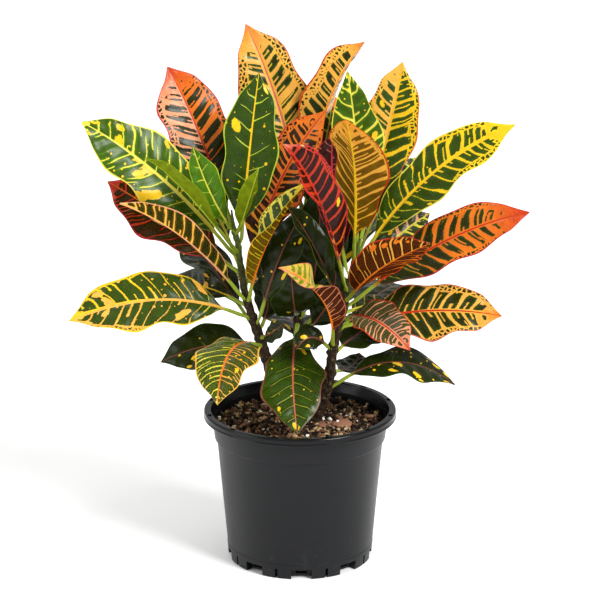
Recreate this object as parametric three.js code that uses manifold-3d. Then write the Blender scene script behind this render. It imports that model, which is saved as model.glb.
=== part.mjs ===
// A potted croton: a nursery pot, its potting mix, three woody stems and the leaves they carry.
// Millimetres, +Z up. The origin is the middle of the pot's foot circle, on the ground.
// The leaves face -Y, the side the plant is looked at from.
import * as THREE from "three";
import { mergeVertices } from "three/addons/utils/BufferGeometryUtils.js";
import Module from "manifold-3d";

// ---- driving dimensions ----
const CLEARANCE = 0.3; // between pieces that rest on or stand in each other

const POT_HEIGHT = 132;
const RIM_RADIUS = 82.5;
const RIM_INNER_RADIUS = 76;
const LIP_DROP = 6.4; // how far the rim's outer lip hangs down
const BAND_RADIUS = 75; // the wider band below the rim, at its top
const BAND_HEIGHT = 17.5;
const BODY_TOP_RADIUS = 71;
const FOOT_RADIUS = 62;
const FOOT_HEIGHT = 12.8; // the slightly stepped ring that the feet are cut from
const WALL = 1.6;
const FLOOR_LOW = 1.5; // the floor's underside
const HUB_RADIUS = 8; // the flat spot in the floor's middle that touches the ground
const PANEL_RADIUS = 56; // the set-back panel behind each foot notch
const LEDGE_HEIGHT = 11.1; // the top of the ledge over the feet, inside the pot
const FOOT_COUNT = 9;
const NOTCH_ANGLE = 16; // degrees
const NOTCH_HEIGHT = 8.5;
const NOTCH_FIRST = 1.2; // degrees from the front to the first notch's middle
const SLIT_WIDTH = 2.4;
const DRAIN_WIDTH = 10;
const DRAIN_HEIGHT = 4.4;
const RIM_SLOT_COUNT = 12;
const RIM_SLOT = [4.4, 2.8]; // round the rim, and across it
const POT_SIDES = 48;

const SOIL_TOP = 118;
const SOIL_BUMP = 2.2;
const STEM_DEPTH = 58; // the stems' lower ends, above the ground

const BLADE_THICKNESS = 0.8;
const PETIOLE_RADIUS = 1.5;
const WIDEST = 0.83; // powers of the blade's outline: rise from the base, fall to the tip
const TAPER = 0.8;
const SCALLOP = 0.05; // how far the margin swings in and out, as a share of the half width

// ---- colours ----
const finish = (color, roughness) =>
  new THREE.MeshStandardMaterial({ color, roughness, metalness: 0 });
const FINISHES = {
  pot: finish(0x3a3b3d, 0.42),
  soil: finish(0x3b2c22, 0.95),
  bark: finish(0x7d6a50, 0.8),
  red: finish(0xb8402c, 0.4),
  orange: finish(0xc87a34, 0.4),
  yellow: finish(0x9c9a2e, 0.38),
  green: finish(0x3f6b2a, 0.36),
  dark: finish(0x2c4a24, 0.36),
  young: finish(0x7fae36, 0.4),
  bronze: finish(0x6a4a24, 0.45),
};

// ---- solids ----
const wasm = await Module();
wasm.setup();

const radians = (degrees) => (degrees * Math.PI) / 180;

/** A three.js geometry as a manifold solid, its shared vertices merged and its faces turned outwards. */
function solid(geometry) {
  geometry.deleteAttribute("normal");
  geometry.deleteAttribute("uv");
  const merged = mergeVertices(geometry, 1e-4);
  const triVerts = new Uint32Array(merged.index.array);
  const made = (corners) =>
    new wasm.Manifold(
      new wasm.Mesh({ numProp: 3, vertProperties: merged.attributes.position.array, triVerts: corners }),
    );
  const first = made(triVerts);
  return first.volume() > 0 ? first : made(triVerts.reverse());
}

/** A manifold solid as a three.js geometry. */
function geometryOf(manifold) {
  const { vertProperties, triVerts, numProp } = manifold.getMesh();
  const geometry = new THREE.BufferGeometry();
  const positions = [];
  for (let i = 0; i < vertProperties.length; i += numProp) positions.push(...vertProperties.slice(i, i + 3));
  geometry.setAttribute("position", new THREE.BufferAttribute(new Float32Array(positions), 3));
  geometry.setIndex(new THREE.BufferAttribute(new Uint32Array(triVerts), 1));
  geometry.computeVertexNormals();
  return geometry;
}

/** A profile of [radius, height] points turned round the Z axis. */
function turned(profile, sides) {
  const lathe = new THREE.LatheGeometry(
    profile.map(([r, z]) => new THREE.Vector2(r, z)),
    sides,
  );
  return solid(lathe.rotateX(Math.PI / 2));
}

/** A block that points outwards from the Z axis, its middle at the given radius, angle and height. */
function radialBlock([across, deep, high], radius, angle, height) {
  const block = new THREE.BoxGeometry(deep, across, high).translate(radius, 0, height);
  return solid(block.rotateZ(angle));
}

/** A loft through rings that all have the same number of points, closed by a fan at each end. */
function loft(rings) {
  const count = rings[0].length;
  const positions = rings.flat().flatMap((p) => [p.x, p.y, p.z]);
  const index = [];
  for (let i = 0; i + 1 < rings.length; i++) {
    for (let j = 0; j < count; j++) {
      const a = i * count + j;
      const b = i * count + ((j + 1) % count);
      // Rings run from the left edge over the top to the right edge and back underneath, so the
      // diagonal leans the other way on the way back: top and underside are split alike.
      if (j < count / 2) index.push(a, a + count, b + count, a, b + count, b);
      else index.push(a, a + count, b, b, a + count, b + count);
    }
  }
  const last = (rings.length - 1) * count;
  for (let j = 1; j + 1 < count; j++) {
    index.push(0, j, j + 1);
    index.push(last, last + j + 1, last + j);
  }
  const geometry = new THREE.BufferGeometry();
  geometry.setAttribute("position", new THREE.BufferAttribute(new Float32Array(positions), 3));
  geometry.setIndex(index);
  return solid(geometry);
}

// ---- the pot ----
function potProfile() {
  const lipBottom = POT_HEIGHT - LIP_DROP;
  const bandTop = POT_HEIGHT - 8.5;
  const bandBottom = bandTop - BAND_HEIGHT;
  return [
    [0, 0],
    [HUB_RADIUS, 0],
    [HUB_RADIUS + 1, FLOOR_LOW],
    [PANEL_RADIUS - WALL, FLOOR_LOW],
    [PANEL_RADIUS - WALL, 0],
    [FOOT_RADIUS, 0],
    [FOOT_RADIUS + 1.1, FOOT_HEIGHT - 0.3],
    [FOOT_RADIUS + 0.8, FOOT_HEIGHT + 0.3],
    [BODY_TOP_RADIUS, bandBottom],
    [BODY_TOP_RADIUS + 2, bandBottom + 1.2],
    [BAND_RADIUS, bandTop],
    [BAND_RADIUS + 2.6, POT_HEIGHT - WALL],
    [RIM_RADIUS - 2.1, POT_HEIGHT - WALL],
    [RIM_RADIUS - 1.9, lipBottom],
    [RIM_RADIUS - 0.3, lipBottom],
    [RIM_RADIUS, lipBottom + 1.2],
    [RIM_RADIUS - 0.5, lipBottom + 2.2],
    [RIM_RADIUS - 0.5, POT_HEIGHT - 1],
    [RIM_RADIUS - 1.3, POT_HEIGHT],
    [RIM_INNER_RADIUS + 0.6, POT_HEIGHT],
    [RIM_INNER_RADIUS, POT_HEIGHT - 0.6],
    [BAND_RADIUS - WALL, bandTop],
    [BODY_TOP_RADIUS + 2 - WALL, bandBottom + 1.8],
    [BODY_TOP_RADIUS - WALL, bandBottom],
    [FOOT_RADIUS + 0.8 - WALL, LEDGE_HEIGHT],
    [PANEL_RADIUS - WALL, LEDGE_HEIGHT],
    [PANEL_RADIUS - WALL, FLOOR_LOW + WALL],
    [0, FLOOR_LOW + WALL],
  ];
}

function pot() {
  let body = turned(potProfile(), POT_SIDES);
  const cuts = [];
  const step = (2 * Math.PI) / FOOT_COUNT;
  const skirt = FOOT_RADIUS + 4 - PANEL_RADIUS;
  const notchWidth = 2 * FOOT_RADIUS * Math.sin(radians(NOTCH_ANGLE / 2));
  const pocketWidth = 2 * PANEL_RADIUS * Math.sin((step - radians(NOTCH_ANGLE)) / 2) - 2 * WALL;
  const pocketDepth = FOOT_RADIUS - 2 * WALL - PANEL_RADIUS - 0.6;
  for (let i = 0; i < FOOT_COUNT; i++) {
    const notch = -Math.PI / 2 + radians(NOTCH_FIRST) + i * step;
    const foot = notch + step / 2;
    // Each cut from below starts two millimetres under the ground.
    const fromBelow = ([across, deep], radius, angle, top) =>
      radialBlock([across, deep, top + 2], radius, angle, top / 2 - 1);
    cuts.push(
      fromBelow([notchWidth, skirt], PANEL_RADIUS + skirt / 2, notch, NOTCH_HEIGHT),
      fromBelow([notchWidth, skirt], PANEL_RADIUS - 2 + skirt / 2, notch, FLOOR_LOW),
      fromBelow([pocketWidth, pocketDepth], PANEL_RADIUS + WALL + pocketDepth / 2, foot, NOTCH_HEIGHT),
      fromBelow([SLIT_WIDTH, 8], FOOT_RADIUS + 0.6, foot, NOTCH_HEIGHT),
      radialBlock([DRAIN_WIDTH, 6, DRAIN_HEIGHT], PANEL_RADIUS, notch, FLOOR_LOW + WALL + DRAIN_HEIGHT / 2),
    );
  }
  for (let i = 0; i < RIM_SLOT_COUNT; i++) {
    const angle = radians(15) + (i * 2 * Math.PI) / RIM_SLOT_COUNT;
    cuts.push(radialBlock([RIM_SLOT[0], RIM_SLOT[1], 6], RIM_RADIUS - 3.6, angle, POT_HEIGHT));
  }
  for (const cut of cuts) body = body.subtract(cut);
  return body;
}

// ---- the stems ----
/** Each stem's way up, as [x, y, z, radius] from its lower end to its growing tip. */
const STEMS = {
  left: [
    [-4, 4, STEM_DEPTH, 4.6],
    [-11, 3, 118, 4.9],
    [-24, 2, 160, 4.2],
    [-33, 2, 190, 3.8],
    [-40, 3, 211, 3.4],
    [-46, 4, 231, 3],
    [-50, 6, 257, 2.5],
    [-53, 7, 279, 2.1],
    [-56, 5, 293, 1.6],
    [-57, 2, 305, 0.7],
  ],
  right: [
    [6, 2, STEM_DEPTH, 4.4],
    [13, 0, 118, 4.6],
    [24, -2, 153, 4],
    [27, -4, 178, 3.6],
    [30, -5, 198, 3.3],
    [36, -6, 219, 3],
    [40, -7, 238, 2.6],
    [44, -7, 257, 2.2],
    [48, -7, 272, 1.7],
    [50, -7, 283, 0.7],
  ],
  back: [
    [0, 22, STEM_DEPTH, 4.4],
    [1, 26, 118, 4.7],
    [0, 31, 165, 4],
    [-2, 35, 205, 3.5],
    [-2, 37, 245, 3],
    [1, 38, 275, 2.5],
    [2, 38, 292, 2],
    [2, 37, 302, 0.8],
  ],
};
const STEM_SIDES = 8;

function stemCurve(name) {
  return new THREE.CatmullRomCurve3(STEMS[name].map(([x, y, z]) => new THREE.Vector3(x, y, z)));
}

/** The stem's radius at a height, straight between the given points. */
function stemRadius(name, z) {
  const points = STEMS[name];
  const i = Math.max(1, Math.min(points.length - 1, points.findIndex((p) => p[2] >= z)));
  const [low, high] = [points[i - 1], points[i]];
  return THREE.MathUtils.mapLinear(z, low[2], high[2], low[3], high[3]);
}

/** The stem's point and direction at a height. */
function stemAt(name, z) {
  const curve = stemCurve(name);
  let [low, high] = [0, 1];
  for (let i = 0; i < 30; i++) {
    const middle = (low + high) / 2;
    if (curve.getPoint(middle).z < z) low = middle;
    else high = middle;
  }
  return { point: curve.getPoint(low), along: curve.getTangent(low) };
}

function ringRound(centre, along, radius) {
  const side = new THREE.Vector3(0, 1, 0).cross(along).normalize();
  const other = along.clone().cross(side);
  return Array.from({ length: STEM_SIDES }, (_, i) => {
    const a = (-2 * Math.PI * i) / STEM_SIDES;
    return centre
      .clone()
      .addScaledVector(side, radius * Math.cos(a))
      .addScaledVector(other, radius * Math.sin(a));
  });
}

/** A stem, or the hole it stands in when extra is the clearance round it. */
function stem(name, extra = 0) {
  const curve = stemCurve(name);
  const steps = (STEMS[name].length - 1) * 2;
  const rings = [];
  for (let i = 0; i <= steps; i++) {
    const point = curve.getPoint(i / steps);
    const along = i === 0 ? new THREE.Vector3(0, 0, 1) : curve.getTangent(i / steps);
    if (i === 0) point.z -= extra;
    rings.push(ringRound(point, along, stemRadius(name, point.z) + extra));
  }
  return loft(rings);
}

// ---- the potting mix ----
/** The height of the mix's uneven top over its mean level. */
function crumble(x, y) {
  const broad = Math.sin(0.31 * x + 0.9) * Math.cos(0.27 * y);
  const crossed = Math.sin(0.52 * x - 0.44 * y);
  const fine = Math.cos(0.83 * y + 0.4 * x + 1.7);
  return SOIL_BUMP * (0.5 * broad + 0.35 * crossed + 0.25 * fine);
}

function soil() {
  const gap = CLEARANCE + 0.1;
  const wallAt = (z) => THREE.MathUtils.mapLinear(z, POT_HEIGHT - 26, POT_HEIGHT - 8.5,
    BODY_TOP_RADIUS + 2 - WALL, BAND_RADIUS - WALL);
  const edge = wallAt(SOIL_TOP - 2) - gap;
  const profile = [
    [0, FLOOR_LOW + WALL + gap],
    [PANEL_RADIUS - WALL - gap, FLOOR_LOW + WALL + gap],
    [PANEL_RADIUS - WALL - gap, LEDGE_HEIGHT + gap],
    [FOOT_RADIUS + 0.8 - WALL - gap, LEDGE_HEIGHT + gap],
    [BODY_TOP_RADIUS - WALL - 2 * gap, POT_HEIGHT - 26],
    [edge - 1.5, POT_HEIGHT - 23],
    [edge, SOIL_TOP - 1.5],
    ...[0.92, 0.8, 0.66, 0.52, 0.38, 0.24, 0.1, 0].map((share) => [edge * share, SOIL_TOP]),
  ];
  const lathe = new THREE.LatheGeometry(profile.map(([r, z]) => new THREE.Vector2(r, z)), 36);
  lathe.rotateX(Math.PI / 2);
  const spots = lathe.attributes.position;
  for (let i = 0; i < spots.count; i++) {
    if (spots.getZ(i) > SOIL_TOP - 0.01) spots.setZ(i, SOIL_TOP + crumble(spots.getX(i), spots.getY(i)));
  }
  let body = solid(lathe);
  for (const name of Object.keys(STEMS)) body = body.subtract(stem(name, CLEARANCE));
  return body;
}

// ---- the leaves ----
// A blade follows a parabola from its stem through a middle point to its tip. `faces` is the way its
// upper side looks. `fold` is how far each half rises from the midrib and `twist` how far the upper
// side turns from base to tip, both in degrees, and `wave` is how high the margins ripple.
const LEAVES = {
  // left stem
  leaf_red_top_left: { stem: "left", from: 280, middle: [-82, 40, 354], tip: [-112, 60, 415],
    width: 58, faces: [0.3, -1, 0.4], fold: 14, wave: 2.2, finish: "red" },
  leaf_green_upright: { stem: "left", from: 272, middle: [-43, 10, 343], tip: [-34, 22, 417],
    width: 47, faces: [0.1, -1, 0.2], fold: 10, wave: 1, finish: "dark" },
  leaf_orange_inner: { stem: "left", from: 238, middle: [-20, 20, 318], tip: [22, 15, 387],
    width: 46, faces: [-0.2, -1, 0.2], fold: 16, wave: 1.6, finish: "orange" },
  leaf_yellow_top_left: { stem: "left", from: 262, middle: [-115, 10, 330], tip: [-181, 14, 377],
    width: 56, faces: [0.25, -1, 0.55], fold: 12, wave: 2, finish: "yellow" },
  leaf_new_left: { stem: "left", from: 268, middle: [-95, -30, 331], tip: [-124, -52, 361],
    width: 30, faces: [0.5, 0.5, 0.9], fold: 24, wave: 0.8, finish: "young" },
  leaf_new_upright: { stem: "left", from: 286, middle: [-74, -8, 322], tip: [-88, -12, 362],
    width: 26, faces: [0.3, -1, 0.3], fold: 16, wave: 0.6, finish: "young" },
  leaf_small_inner: { stem: "left", from: 284, middle: [-44, -10, 312], tip: [-34, -18, 345],
    width: 20, faces: [-0.5, 0.8, 0.4], fold: 34, wave: 0.5, finish: "young" },
  leaf_red_edge_left: { stem: "left", from: 250, middle: [-110, 34, 287], tip: [-164, 50, 318],
    width: 50, faces: [0.2, -1, 0.6], fold: 12, wave: 1.8, finish: "red" },
  leaf_turned_left: { stem: "left", from: 228, middle: [-92, -24, 285], tip: [-146, -44, 322],
    width: 34, faces: [0.455, 0.71, 0.28], fold: 42, wave: 1.4, finish: "bronze" },
  leaf_yellow_left: { stem: "left", from: 212, middle: [-115, -18, 233], tip: [-192, -26, 217],
    width: 54, faces: [0, -0.75, 0.7], fold: 10, wave: 2.4, finish: "yellow" },
  leaf_dark_left: { stem: "left", from: 222, middle: [-90, 30, 232], tip: [-130, 60, 219],
    width: 38, faces: [0, -0.5, 0.9], fold: 10, wave: 1.5, finish: "dark" },
  leaf_low_left: { stem: "left", from: 178, middle: [-72, 8, 185], tip: [-119, 14, 168],
    width: 44, faces: [0, -0.7, 0.8], fold: 10, wave: 1.4, finish: "dark" },
  leaf_front_left: { stem: "left", from: 188, middle: [-57, -50, 198], tip: [-67, -92, 166],
    width: 52, faces: [-0.2, -0.6, 0.9], fold: 10, wave: 2, finish: "yellow" },
  leaf_striped_twist: { stem: "left", from: 226, middle: [-28, -28, 283], tip: [6, -48, 341],
    width: 36, faces: [-0.7, 0.62, 0.12], twist: 80, fold: 50, wave: 1, finish: "yellow" },
  leaf_dark_red_rib: { stem: "left", from: 206, middle: [-17, -12, 267], tip: [3, 4, 303],
    width: 34, faces: [-0.5, -1, 0.2], fold: 14, wave: 0.8, finish: "dark" },
  leaf_small_low_left: { stem: "left", from: 194, middle: [-24, -12, 202], tip: [-13, -22, 214],
    width: 18, faces: [0, -0.8, 0.6], fold: 10, wave: 0.5, finish: "dark" },
  leaf_dark_low_inner: { stem: "left", from: 200, middle: [-27, 15, 224], tip: [-31, 13, 252],
    width: 26, faces: [0.2, -1, 0.3], fold: 10, wave: 0.8, finish: "dark" },
  // back stem
  leaf_orange_tall: { stem: "back", from: 296, middle: [-16, 58, 374], tip: [-46, 74, 449],
    width: 58, faces: [0.1, -1, 0.3], fold: 12, wave: 2.4, finish: "orange" },
  leaf_orange_right: { stem: "back", from: 292, middle: [22, 46, 381], tip: [54, 54, 437],
    width: 43, faces: [0.62, -0.79, 0.1], fold: -42, wave: 1.8, finish: "orange" },
  leaf_grey_inner: { stem: "back", from: 284, middle: [17, 29, 336], tip: [26, 29, 384],
    width: 34, faces: [0, -1, 0.2], fold: 12, wave: 1, finish: "green" },
  leaf_centre_upright: { stem: "back", from: 207, middle: [-5, 4, 222], tip: [-8, -6, 262],
    width: 38, faces: [0, -1, 0.3], fold: 10, wave: 1, finish: "dark" },
  leaf_front_centre: { stem: "back", from: 196, middle: [-6, -22, 171], tip: [-2, -66, 131],
    width: 52, faces: [0, -0.7, 0.8], fold: 8, wave: 1.6, finish: "dark" },
  leaf_centre_left: { stem: "back", from: 222, middle: [-22, 26, 244], tip: [-24, 22, 272],
    width: 30, faces: [0, -1, 0.4], fold: 10, wave: 1, finish: "dark" },
  leaf_centre_right: { stem: "back", from: 232, middle: [30, 33, 264], tip: [42, 30, 296],
    width: 34, faces: [0, -1, 0.3], fold: 10, wave: 1, finish: "dark" },
  leaf_dark_centre: { stem: "back", from: 200, middle: [14, 19, 256], tip: [16, 14, 325],
    width: 52, faces: [0.1, -1, 0.2], fold: 10, wave: 1.2, finish: "dark" },
  leaf_dark_under: { stem: "back", from: 186, middle: [24, 18, 220], tip: [30, 12, 250],
    width: 34, faces: [0, -1, 0.3], fold: 12, wave: 1, finish: "dark" },
  leaf_back_low: { stem: "back", from: 172, middle: [-8, 90, 184], tip: [-16, 138, 162],
    width: 42, faces: [0, 0.4, 1], fold: 10, wave: 1.6, finish: "dark" },
  leaf_back_low_right: { stem: "back", from: 192, middle: [43, 80, 211], tip: [75, 124, 209],
    width: 42, faces: [0.2, 0.3, 1], fold: 11, wave: 1.4, finish: "dark" },
  leaf_back_low_left: { stem: "back", from: 212, middle: [-40, 88, 222], tip: [-66, 136, 214],
    width: 44, faces: [-0.2, 0.4, 1], fold: 10, wave: 1.8, finish: "yellow" },
  leaf_back_middle: { stem: "back", from: 234, middle: [8, 98, 262], tip: [12, 158, 272],
    width: 46, faces: [0, 0.3, 1], fold: 12, wave: 2, finish: "orange" },
  leaf_back_right: { stem: "back", from: 252, middle: [54, 86, 290], tip: [96, 130, 312],
    width: 44, faces: [-0.3, -0.2, 1], fold: 12, wave: 1.8, finish: "yellow" },
  leaf_back_left: { stem: "back", from: 266, middle: [-44, 92, 308], tip: [-80, 140, 334],
    width: 46, faces: [0.3, -0.2, 1], fold: 12, wave: 1.8, finish: "red" },
  leaf_back_upright: { stem: "back", from: 282, middle: [14, 88, 336], tip: [22, 126, 388],
    width: 44, faces: [0, -0.8, 0.8], fold: 12, wave: 1.6, finish: "orange" },
  leaf_rear_left: { stem: "left", from: 200, middle: [-78, 68, 240], tip: [-98, 106, 250],
    width: 40, faces: [-0.2, 0.2, 1], fold: 10, wave: 1.6, finish: "dark" },
  leaf_rear_top_left: { stem: "left", from: 254, middle: [-86, 68, 308], tip: [-128, 100, 336],
    width: 44, faces: [0.3, -0.3, 1], fold: 12, wave: 1.6, finish: "green" },
  leaf_rear_right: { stem: "right", from: 200, middle: [68, 58, 216], tip: [92, 96, 212],
    width: 34, faces: [0.2, 0.2, 1], fold: 10, wave: 1.6, finish: "dark" },
  leaf_rear_top_right: { stem: "right", from: 255, middle: [76, 74, 302], tip: [108, 110, 326],
    width: 42, faces: [-0.3, -0.3, 1], fold: 12, wave: 1.6, finish: "green" },
  // right stem
  leaf_green_top: { stem: "right", from: 270, middle: [48, 8, 341], tip: [39, 18, 419],
    width: 44, faces: [0, -1, 0.3], fold: 12, wave: 1.2, finish: "green" },
  leaf_orange_edge_top: { stem: "right", from: 266, middle: [70, 30, 350], tip: [86, 50, 421],
    width: 50, faces: [-0.1, -1, 0.3], fold: 12, wave: 1.8, finish: "orange" },
  leaf_turned_top: { stem: "right", from: 262, middle: [45, -40, 340], tip: [36, -84, 399],
    width: 56, faces: [0.44, 0.87, -0.1], fold: 26, wave: 1.6, finish: "bronze" },
  leaf_red_front: { stem: "right", from: 238, middle: [16, -57, 326], tip: [-14, -72, 377],
    width: 46, faces: [0.62, -0.71, 0.46], fold: 42, wave: 1.6, finish: "red" },
  leaf_yellow_right: { stem: "right", from: 258, middle: [104, 2, 331], tip: [178, 8, 376],
    width: 43, faces: [-0.2, -1, 0.5], fold: 12, wave: 1.8, finish: "yellow" },
  leaf_red_right: { stem: "right", from: 224, middle: [114, -14, 279], tip: [189, -18, 308],
    width: 46, faces: [-0.1, -0.8, 0.7], fold: 10, wave: 2.4, finish: "red" },
  leaf_orange_low_right: { stem: "right", from: 206, middle: [101, -8, 220], tip: [169, -12, 217],
    width: 50, faces: [0, -0.8, 0.6], fold: 10, wave: 2, finish: "orange" },
  leaf_twisted_right: { stem: "right", from: 214, middle: [61, -50, 225], tip: [89, -82, 209],
    width: 42, faces: [0.25, -0.83, 0.67], twist: 20, fold: 30, wave: 1.6, finish: "bronze" },
  leaf_turned_right: { stem: "right", from: 230, middle: [64, -46, 267], tip: [104, -76, 297],
    width: 48, faces: [-0.3, 0.86, 0.2], fold: 26, wave: 1, finish: "bronze" },
  leaf_green_mid_right: { stem: "right", from: 243, middle: [80, 26, 273], tip: [111, 46, 291],
    width: 30, faces: [-0.2, -1, 0.5], fold: 12, wave: 1, finish: "green" },
  leaf_low_right: { stem: "right", from: 152, middle: [80, -4, 174], tip: [132, 4, 151],
    width: 42, faces: [0, -0.35, 1], fold: 8, wave: 1.4, finish: "dark" },
  leaf_dark_right: { stem: "right", from: 182, middle: [50, 14, 194], tip: [74, 34, 202],
    width: 42, faces: [0, -0.5, 0.9], fold: 10, wave: 1, finish: "dark" },
  leaf_small_front: { stem: "right", from: 190, middle: [18, -42, 236], tip: [-14, -76, 268],
    width: 32, faces: [0.55, 0.71, 0.17], fold: 42, wave: 1, finish: "bronze" },
  leaf_dark_inner: { stem: "right", from: 222, middle: [13, -20, 276], tip: [-11, -8, 311],
    width: 30, faces: [0.58, -0.71, 0.54], fold: 42, wave: 1, finish: "dark" },
  leaf_olive_low: { stem: "right", from: 186, middle: [10, -18, 200], tip: [-3, -26, 192],
    width: 24, faces: [0, -0.8, 0.6], fold: 8, wave: 0.5, finish: "dark" },
  leaf_shiny_right: { stem: "right", from: 218, middle: [58, 14, 219], tip: [79, 30, 219],
    width: 28, faces: [0, -0.4, 1], fold: 8, wave: 0.8, finish: "green" },
  leaf_small_back_right: { stem: "right", from: 164, middle: [44, 34, 158], tip: [52, 56, 163],
    width: 26, faces: [0, -0.5, 0.9], fold: 8, wave: 0.8, finish: "dark" },
  leaf_maroon_inner: { stem: "right", from: 250, middle: [28, -12, 322], tip: [27, -8, 372],
    width: 34, faces: [0, -1, 0.2], fold: 12, wave: 1, finish: "red" },
};

const BLADE_STOPS = [0.06, 0.2, 0.35, 0.5, 0.65, 0.79, 0.91, 1];
const ACROSS = [-1, -0.5, 0, 0.5, 1];
const PETIOLE_SHARE = 0.15;

/** Half the blade's width as a share of its widest, from base (0) to tip (1). */
function outline(s) {
  const peak = WIDEST / (WIDEST + TAPER);
  const value = (t) => Math.pow(t, WIDEST) * Math.pow(1 - t, TAPER);
  return value(s) / value(peak);
}

function leaf(row, number) {
  const away = (v) => new THREE.Vector3(...v);
  const { point, along } = stemAt(row.stem, row.from);
  const middle = away(row.middle);
  const outwards = middle.clone().sub(point);
  outwards.addScaledVector(along, -outwards.dot(along)).normalize();
  const start = point.clone().addScaledVector(outwards, stemRadius(row.stem, row.from) + CLEARANCE);
  const tip = away(row.tip);
  const control = middle.clone().multiplyScalar(2).addScaledVector(start, -0.5).addScaledVector(tip, -0.5);
  const curve = new THREE.QuadraticBezierCurve3(start, control, tip);
  const facing = away(row.faces);
  const half = row.width / 2;

  const frame = (t, twist) => {
    const centre = curve.getPoint(t);
    const ahead = curve.getTangent(t);
    const up = facing.clone().addScaledVector(ahead, -facing.dot(ahead)).normalize();
    up.applyAxisAngle(ahead, radians(twist));
    return { centre, up, right: ahead.clone().cross(up) };
  };
  const place = ({ centre, up, right }, [x, y]) =>
    centre.clone().addScaledVector(right, x).addScaledVector(up, y);

  const roundRing = (at, radius) => {
    const top = [162, 126, 90, 54, 18];
    return [...top, ...top.map((a) => a - 180)].map((a) =>
      place(at, [radius * Math.cos(radians(a)), radius * Math.sin(radians(a))]));
  };
  const bladeRing = (s) => {
    const at = frame(PETIOLE_SHARE + (1 - PETIOLE_SHARE) * s, (row.twist ?? 0) * s);
    const reach = Math.max(half * outline(s), PETIOLE_RADIUS * 0.8);
    const fold = radians(row.fold);
    const line = ACROSS.map((v) => {
      const phase = number * 2.4 + (v > 0 ? 1.9 : 0);
      const ripple = row.wave * v * v * Math.sin(2 * Math.PI * 2.2 * s + phase) * Math.sin(Math.PI * s);
      const rise = reach * (Math.abs(v) * Math.sin(fold) - 0.12 * v * v);
      const swing = 1 + SCALLOP * v * v * Math.sin(2 * Math.PI * 3 * s + phase);
      return [reach * v * swing * Math.cos(fold), rise + ripple];
    });
    const rib = 1.3 * (1 - s) * (1 - s);
    const top = line.map(([x, y]) => place(at, [x, y + BLADE_THICKNESS / 2]));
    const under = line.map(([x, y], i) => place(at, [x, y - BLADE_THICKNESS / 2 - (i === 2 ? rib : 0)]));
    return [...top, ...under.reverse()];
  };

  const first = { centre: start, up: along, right: outwards.clone().cross(along) };
  const rings = [
    roundRing(first, PETIOLE_RADIUS * 1.15),
    roundRing(frame(PETIOLE_SHARE * 0.35, 0), PETIOLE_RADIUS),
    roundRing(frame(PETIOLE_SHARE * 0.8, 0), PETIOLE_RADIUS * 0.9),
    ...BLADE_STOPS.map(bladeRing),
  ];
  return loft(rings);
}

// ---- the plant in its pot ----
const plant = new THREE.Group();

function add(name, body, finishName) {
  const mesh = new THREE.Mesh(geometryOf(body), FINISHES[finishName].clone());
  mesh.name = name;
  plant.add(mesh);
}

add("pot", pot(), "pot");
add("soil", soil(), "soil");
for (const name of Object.keys(STEMS)) add("stem_" + name, stem(name), "bark");
Object.entries(LEAVES).forEach(([name, row], i) => add(name, leaf(row, i), row.finish));

export default plant;
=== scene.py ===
"""A potted croton, laid out as a Blender add-on and run as a script.

A black nursery pot holds potting mix with perlite and bark chips, three woody stems and the
patterned leaves they carry. Metres, +Z up; the origin is the middle of the pot's underside and
the plant is looked at along +Y. Each shape is a surface worked out with numpy, and each finish
is a material of nodes.
"""
import math
from collections import namedtuple
from types import SimpleNamespace

import bpy
import numpy as np
from bpy.props import FloatProperty, FloatVectorProperty, IntProperty, PointerProperty
from bpy.types import Operator, Panel, PropertyGroup
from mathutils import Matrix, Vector


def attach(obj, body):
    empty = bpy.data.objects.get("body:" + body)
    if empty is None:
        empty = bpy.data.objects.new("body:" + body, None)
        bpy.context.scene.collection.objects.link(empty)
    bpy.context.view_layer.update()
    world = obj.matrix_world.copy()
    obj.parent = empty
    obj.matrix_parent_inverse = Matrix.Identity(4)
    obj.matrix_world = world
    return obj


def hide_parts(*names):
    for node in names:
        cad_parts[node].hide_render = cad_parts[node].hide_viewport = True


bl_info = {
    "name": "Potted Croton",
    "version": (1, 0, 0),
    "blender": (4, 5, 0),
    "location": "View3D > Sidebar > Croton",
    "description": "Builds a croton in its nursery pot round its packed frame",
    "category": "Add Mesh",
}

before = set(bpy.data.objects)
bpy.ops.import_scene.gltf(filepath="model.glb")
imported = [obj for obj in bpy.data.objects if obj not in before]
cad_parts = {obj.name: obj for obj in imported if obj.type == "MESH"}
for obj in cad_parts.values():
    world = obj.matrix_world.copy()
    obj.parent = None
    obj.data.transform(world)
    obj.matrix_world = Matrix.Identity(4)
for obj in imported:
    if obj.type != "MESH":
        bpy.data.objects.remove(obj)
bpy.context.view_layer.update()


# ---- values the panel shows ----
def linear(code):
    """A #rrggbb colour as three linear shares, by the sRGB curve."""
    shares = np.array([int(code[i:i + 2], 16) for i in (1, 3, 5)]) / 255
    return tuple(np.where(shares <= .04045, shares / 12.92, ((shares + .055) / 1.055) ** 2.4))


def amount(name, description, default, **limits):
    return FloatProperty(name=name, description=description, default=default, **limits)


def length(*words):
    return amount(*words, min=0, precision=4, subtype="DISTANCE", unit="LENGTH")


def share(*words):
    return amount(*words, min=0, max=1, subtype="FACTOR")


def colour(name, description, code):
    return FloatVectorProperty(name=name, description=description, default=linear(code), size=3,
                               min=0, max=1, subtype="COLOR")


def count(name, description, default):
    return IntProperty(name=name, description=description, default=default, min=1)


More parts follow.
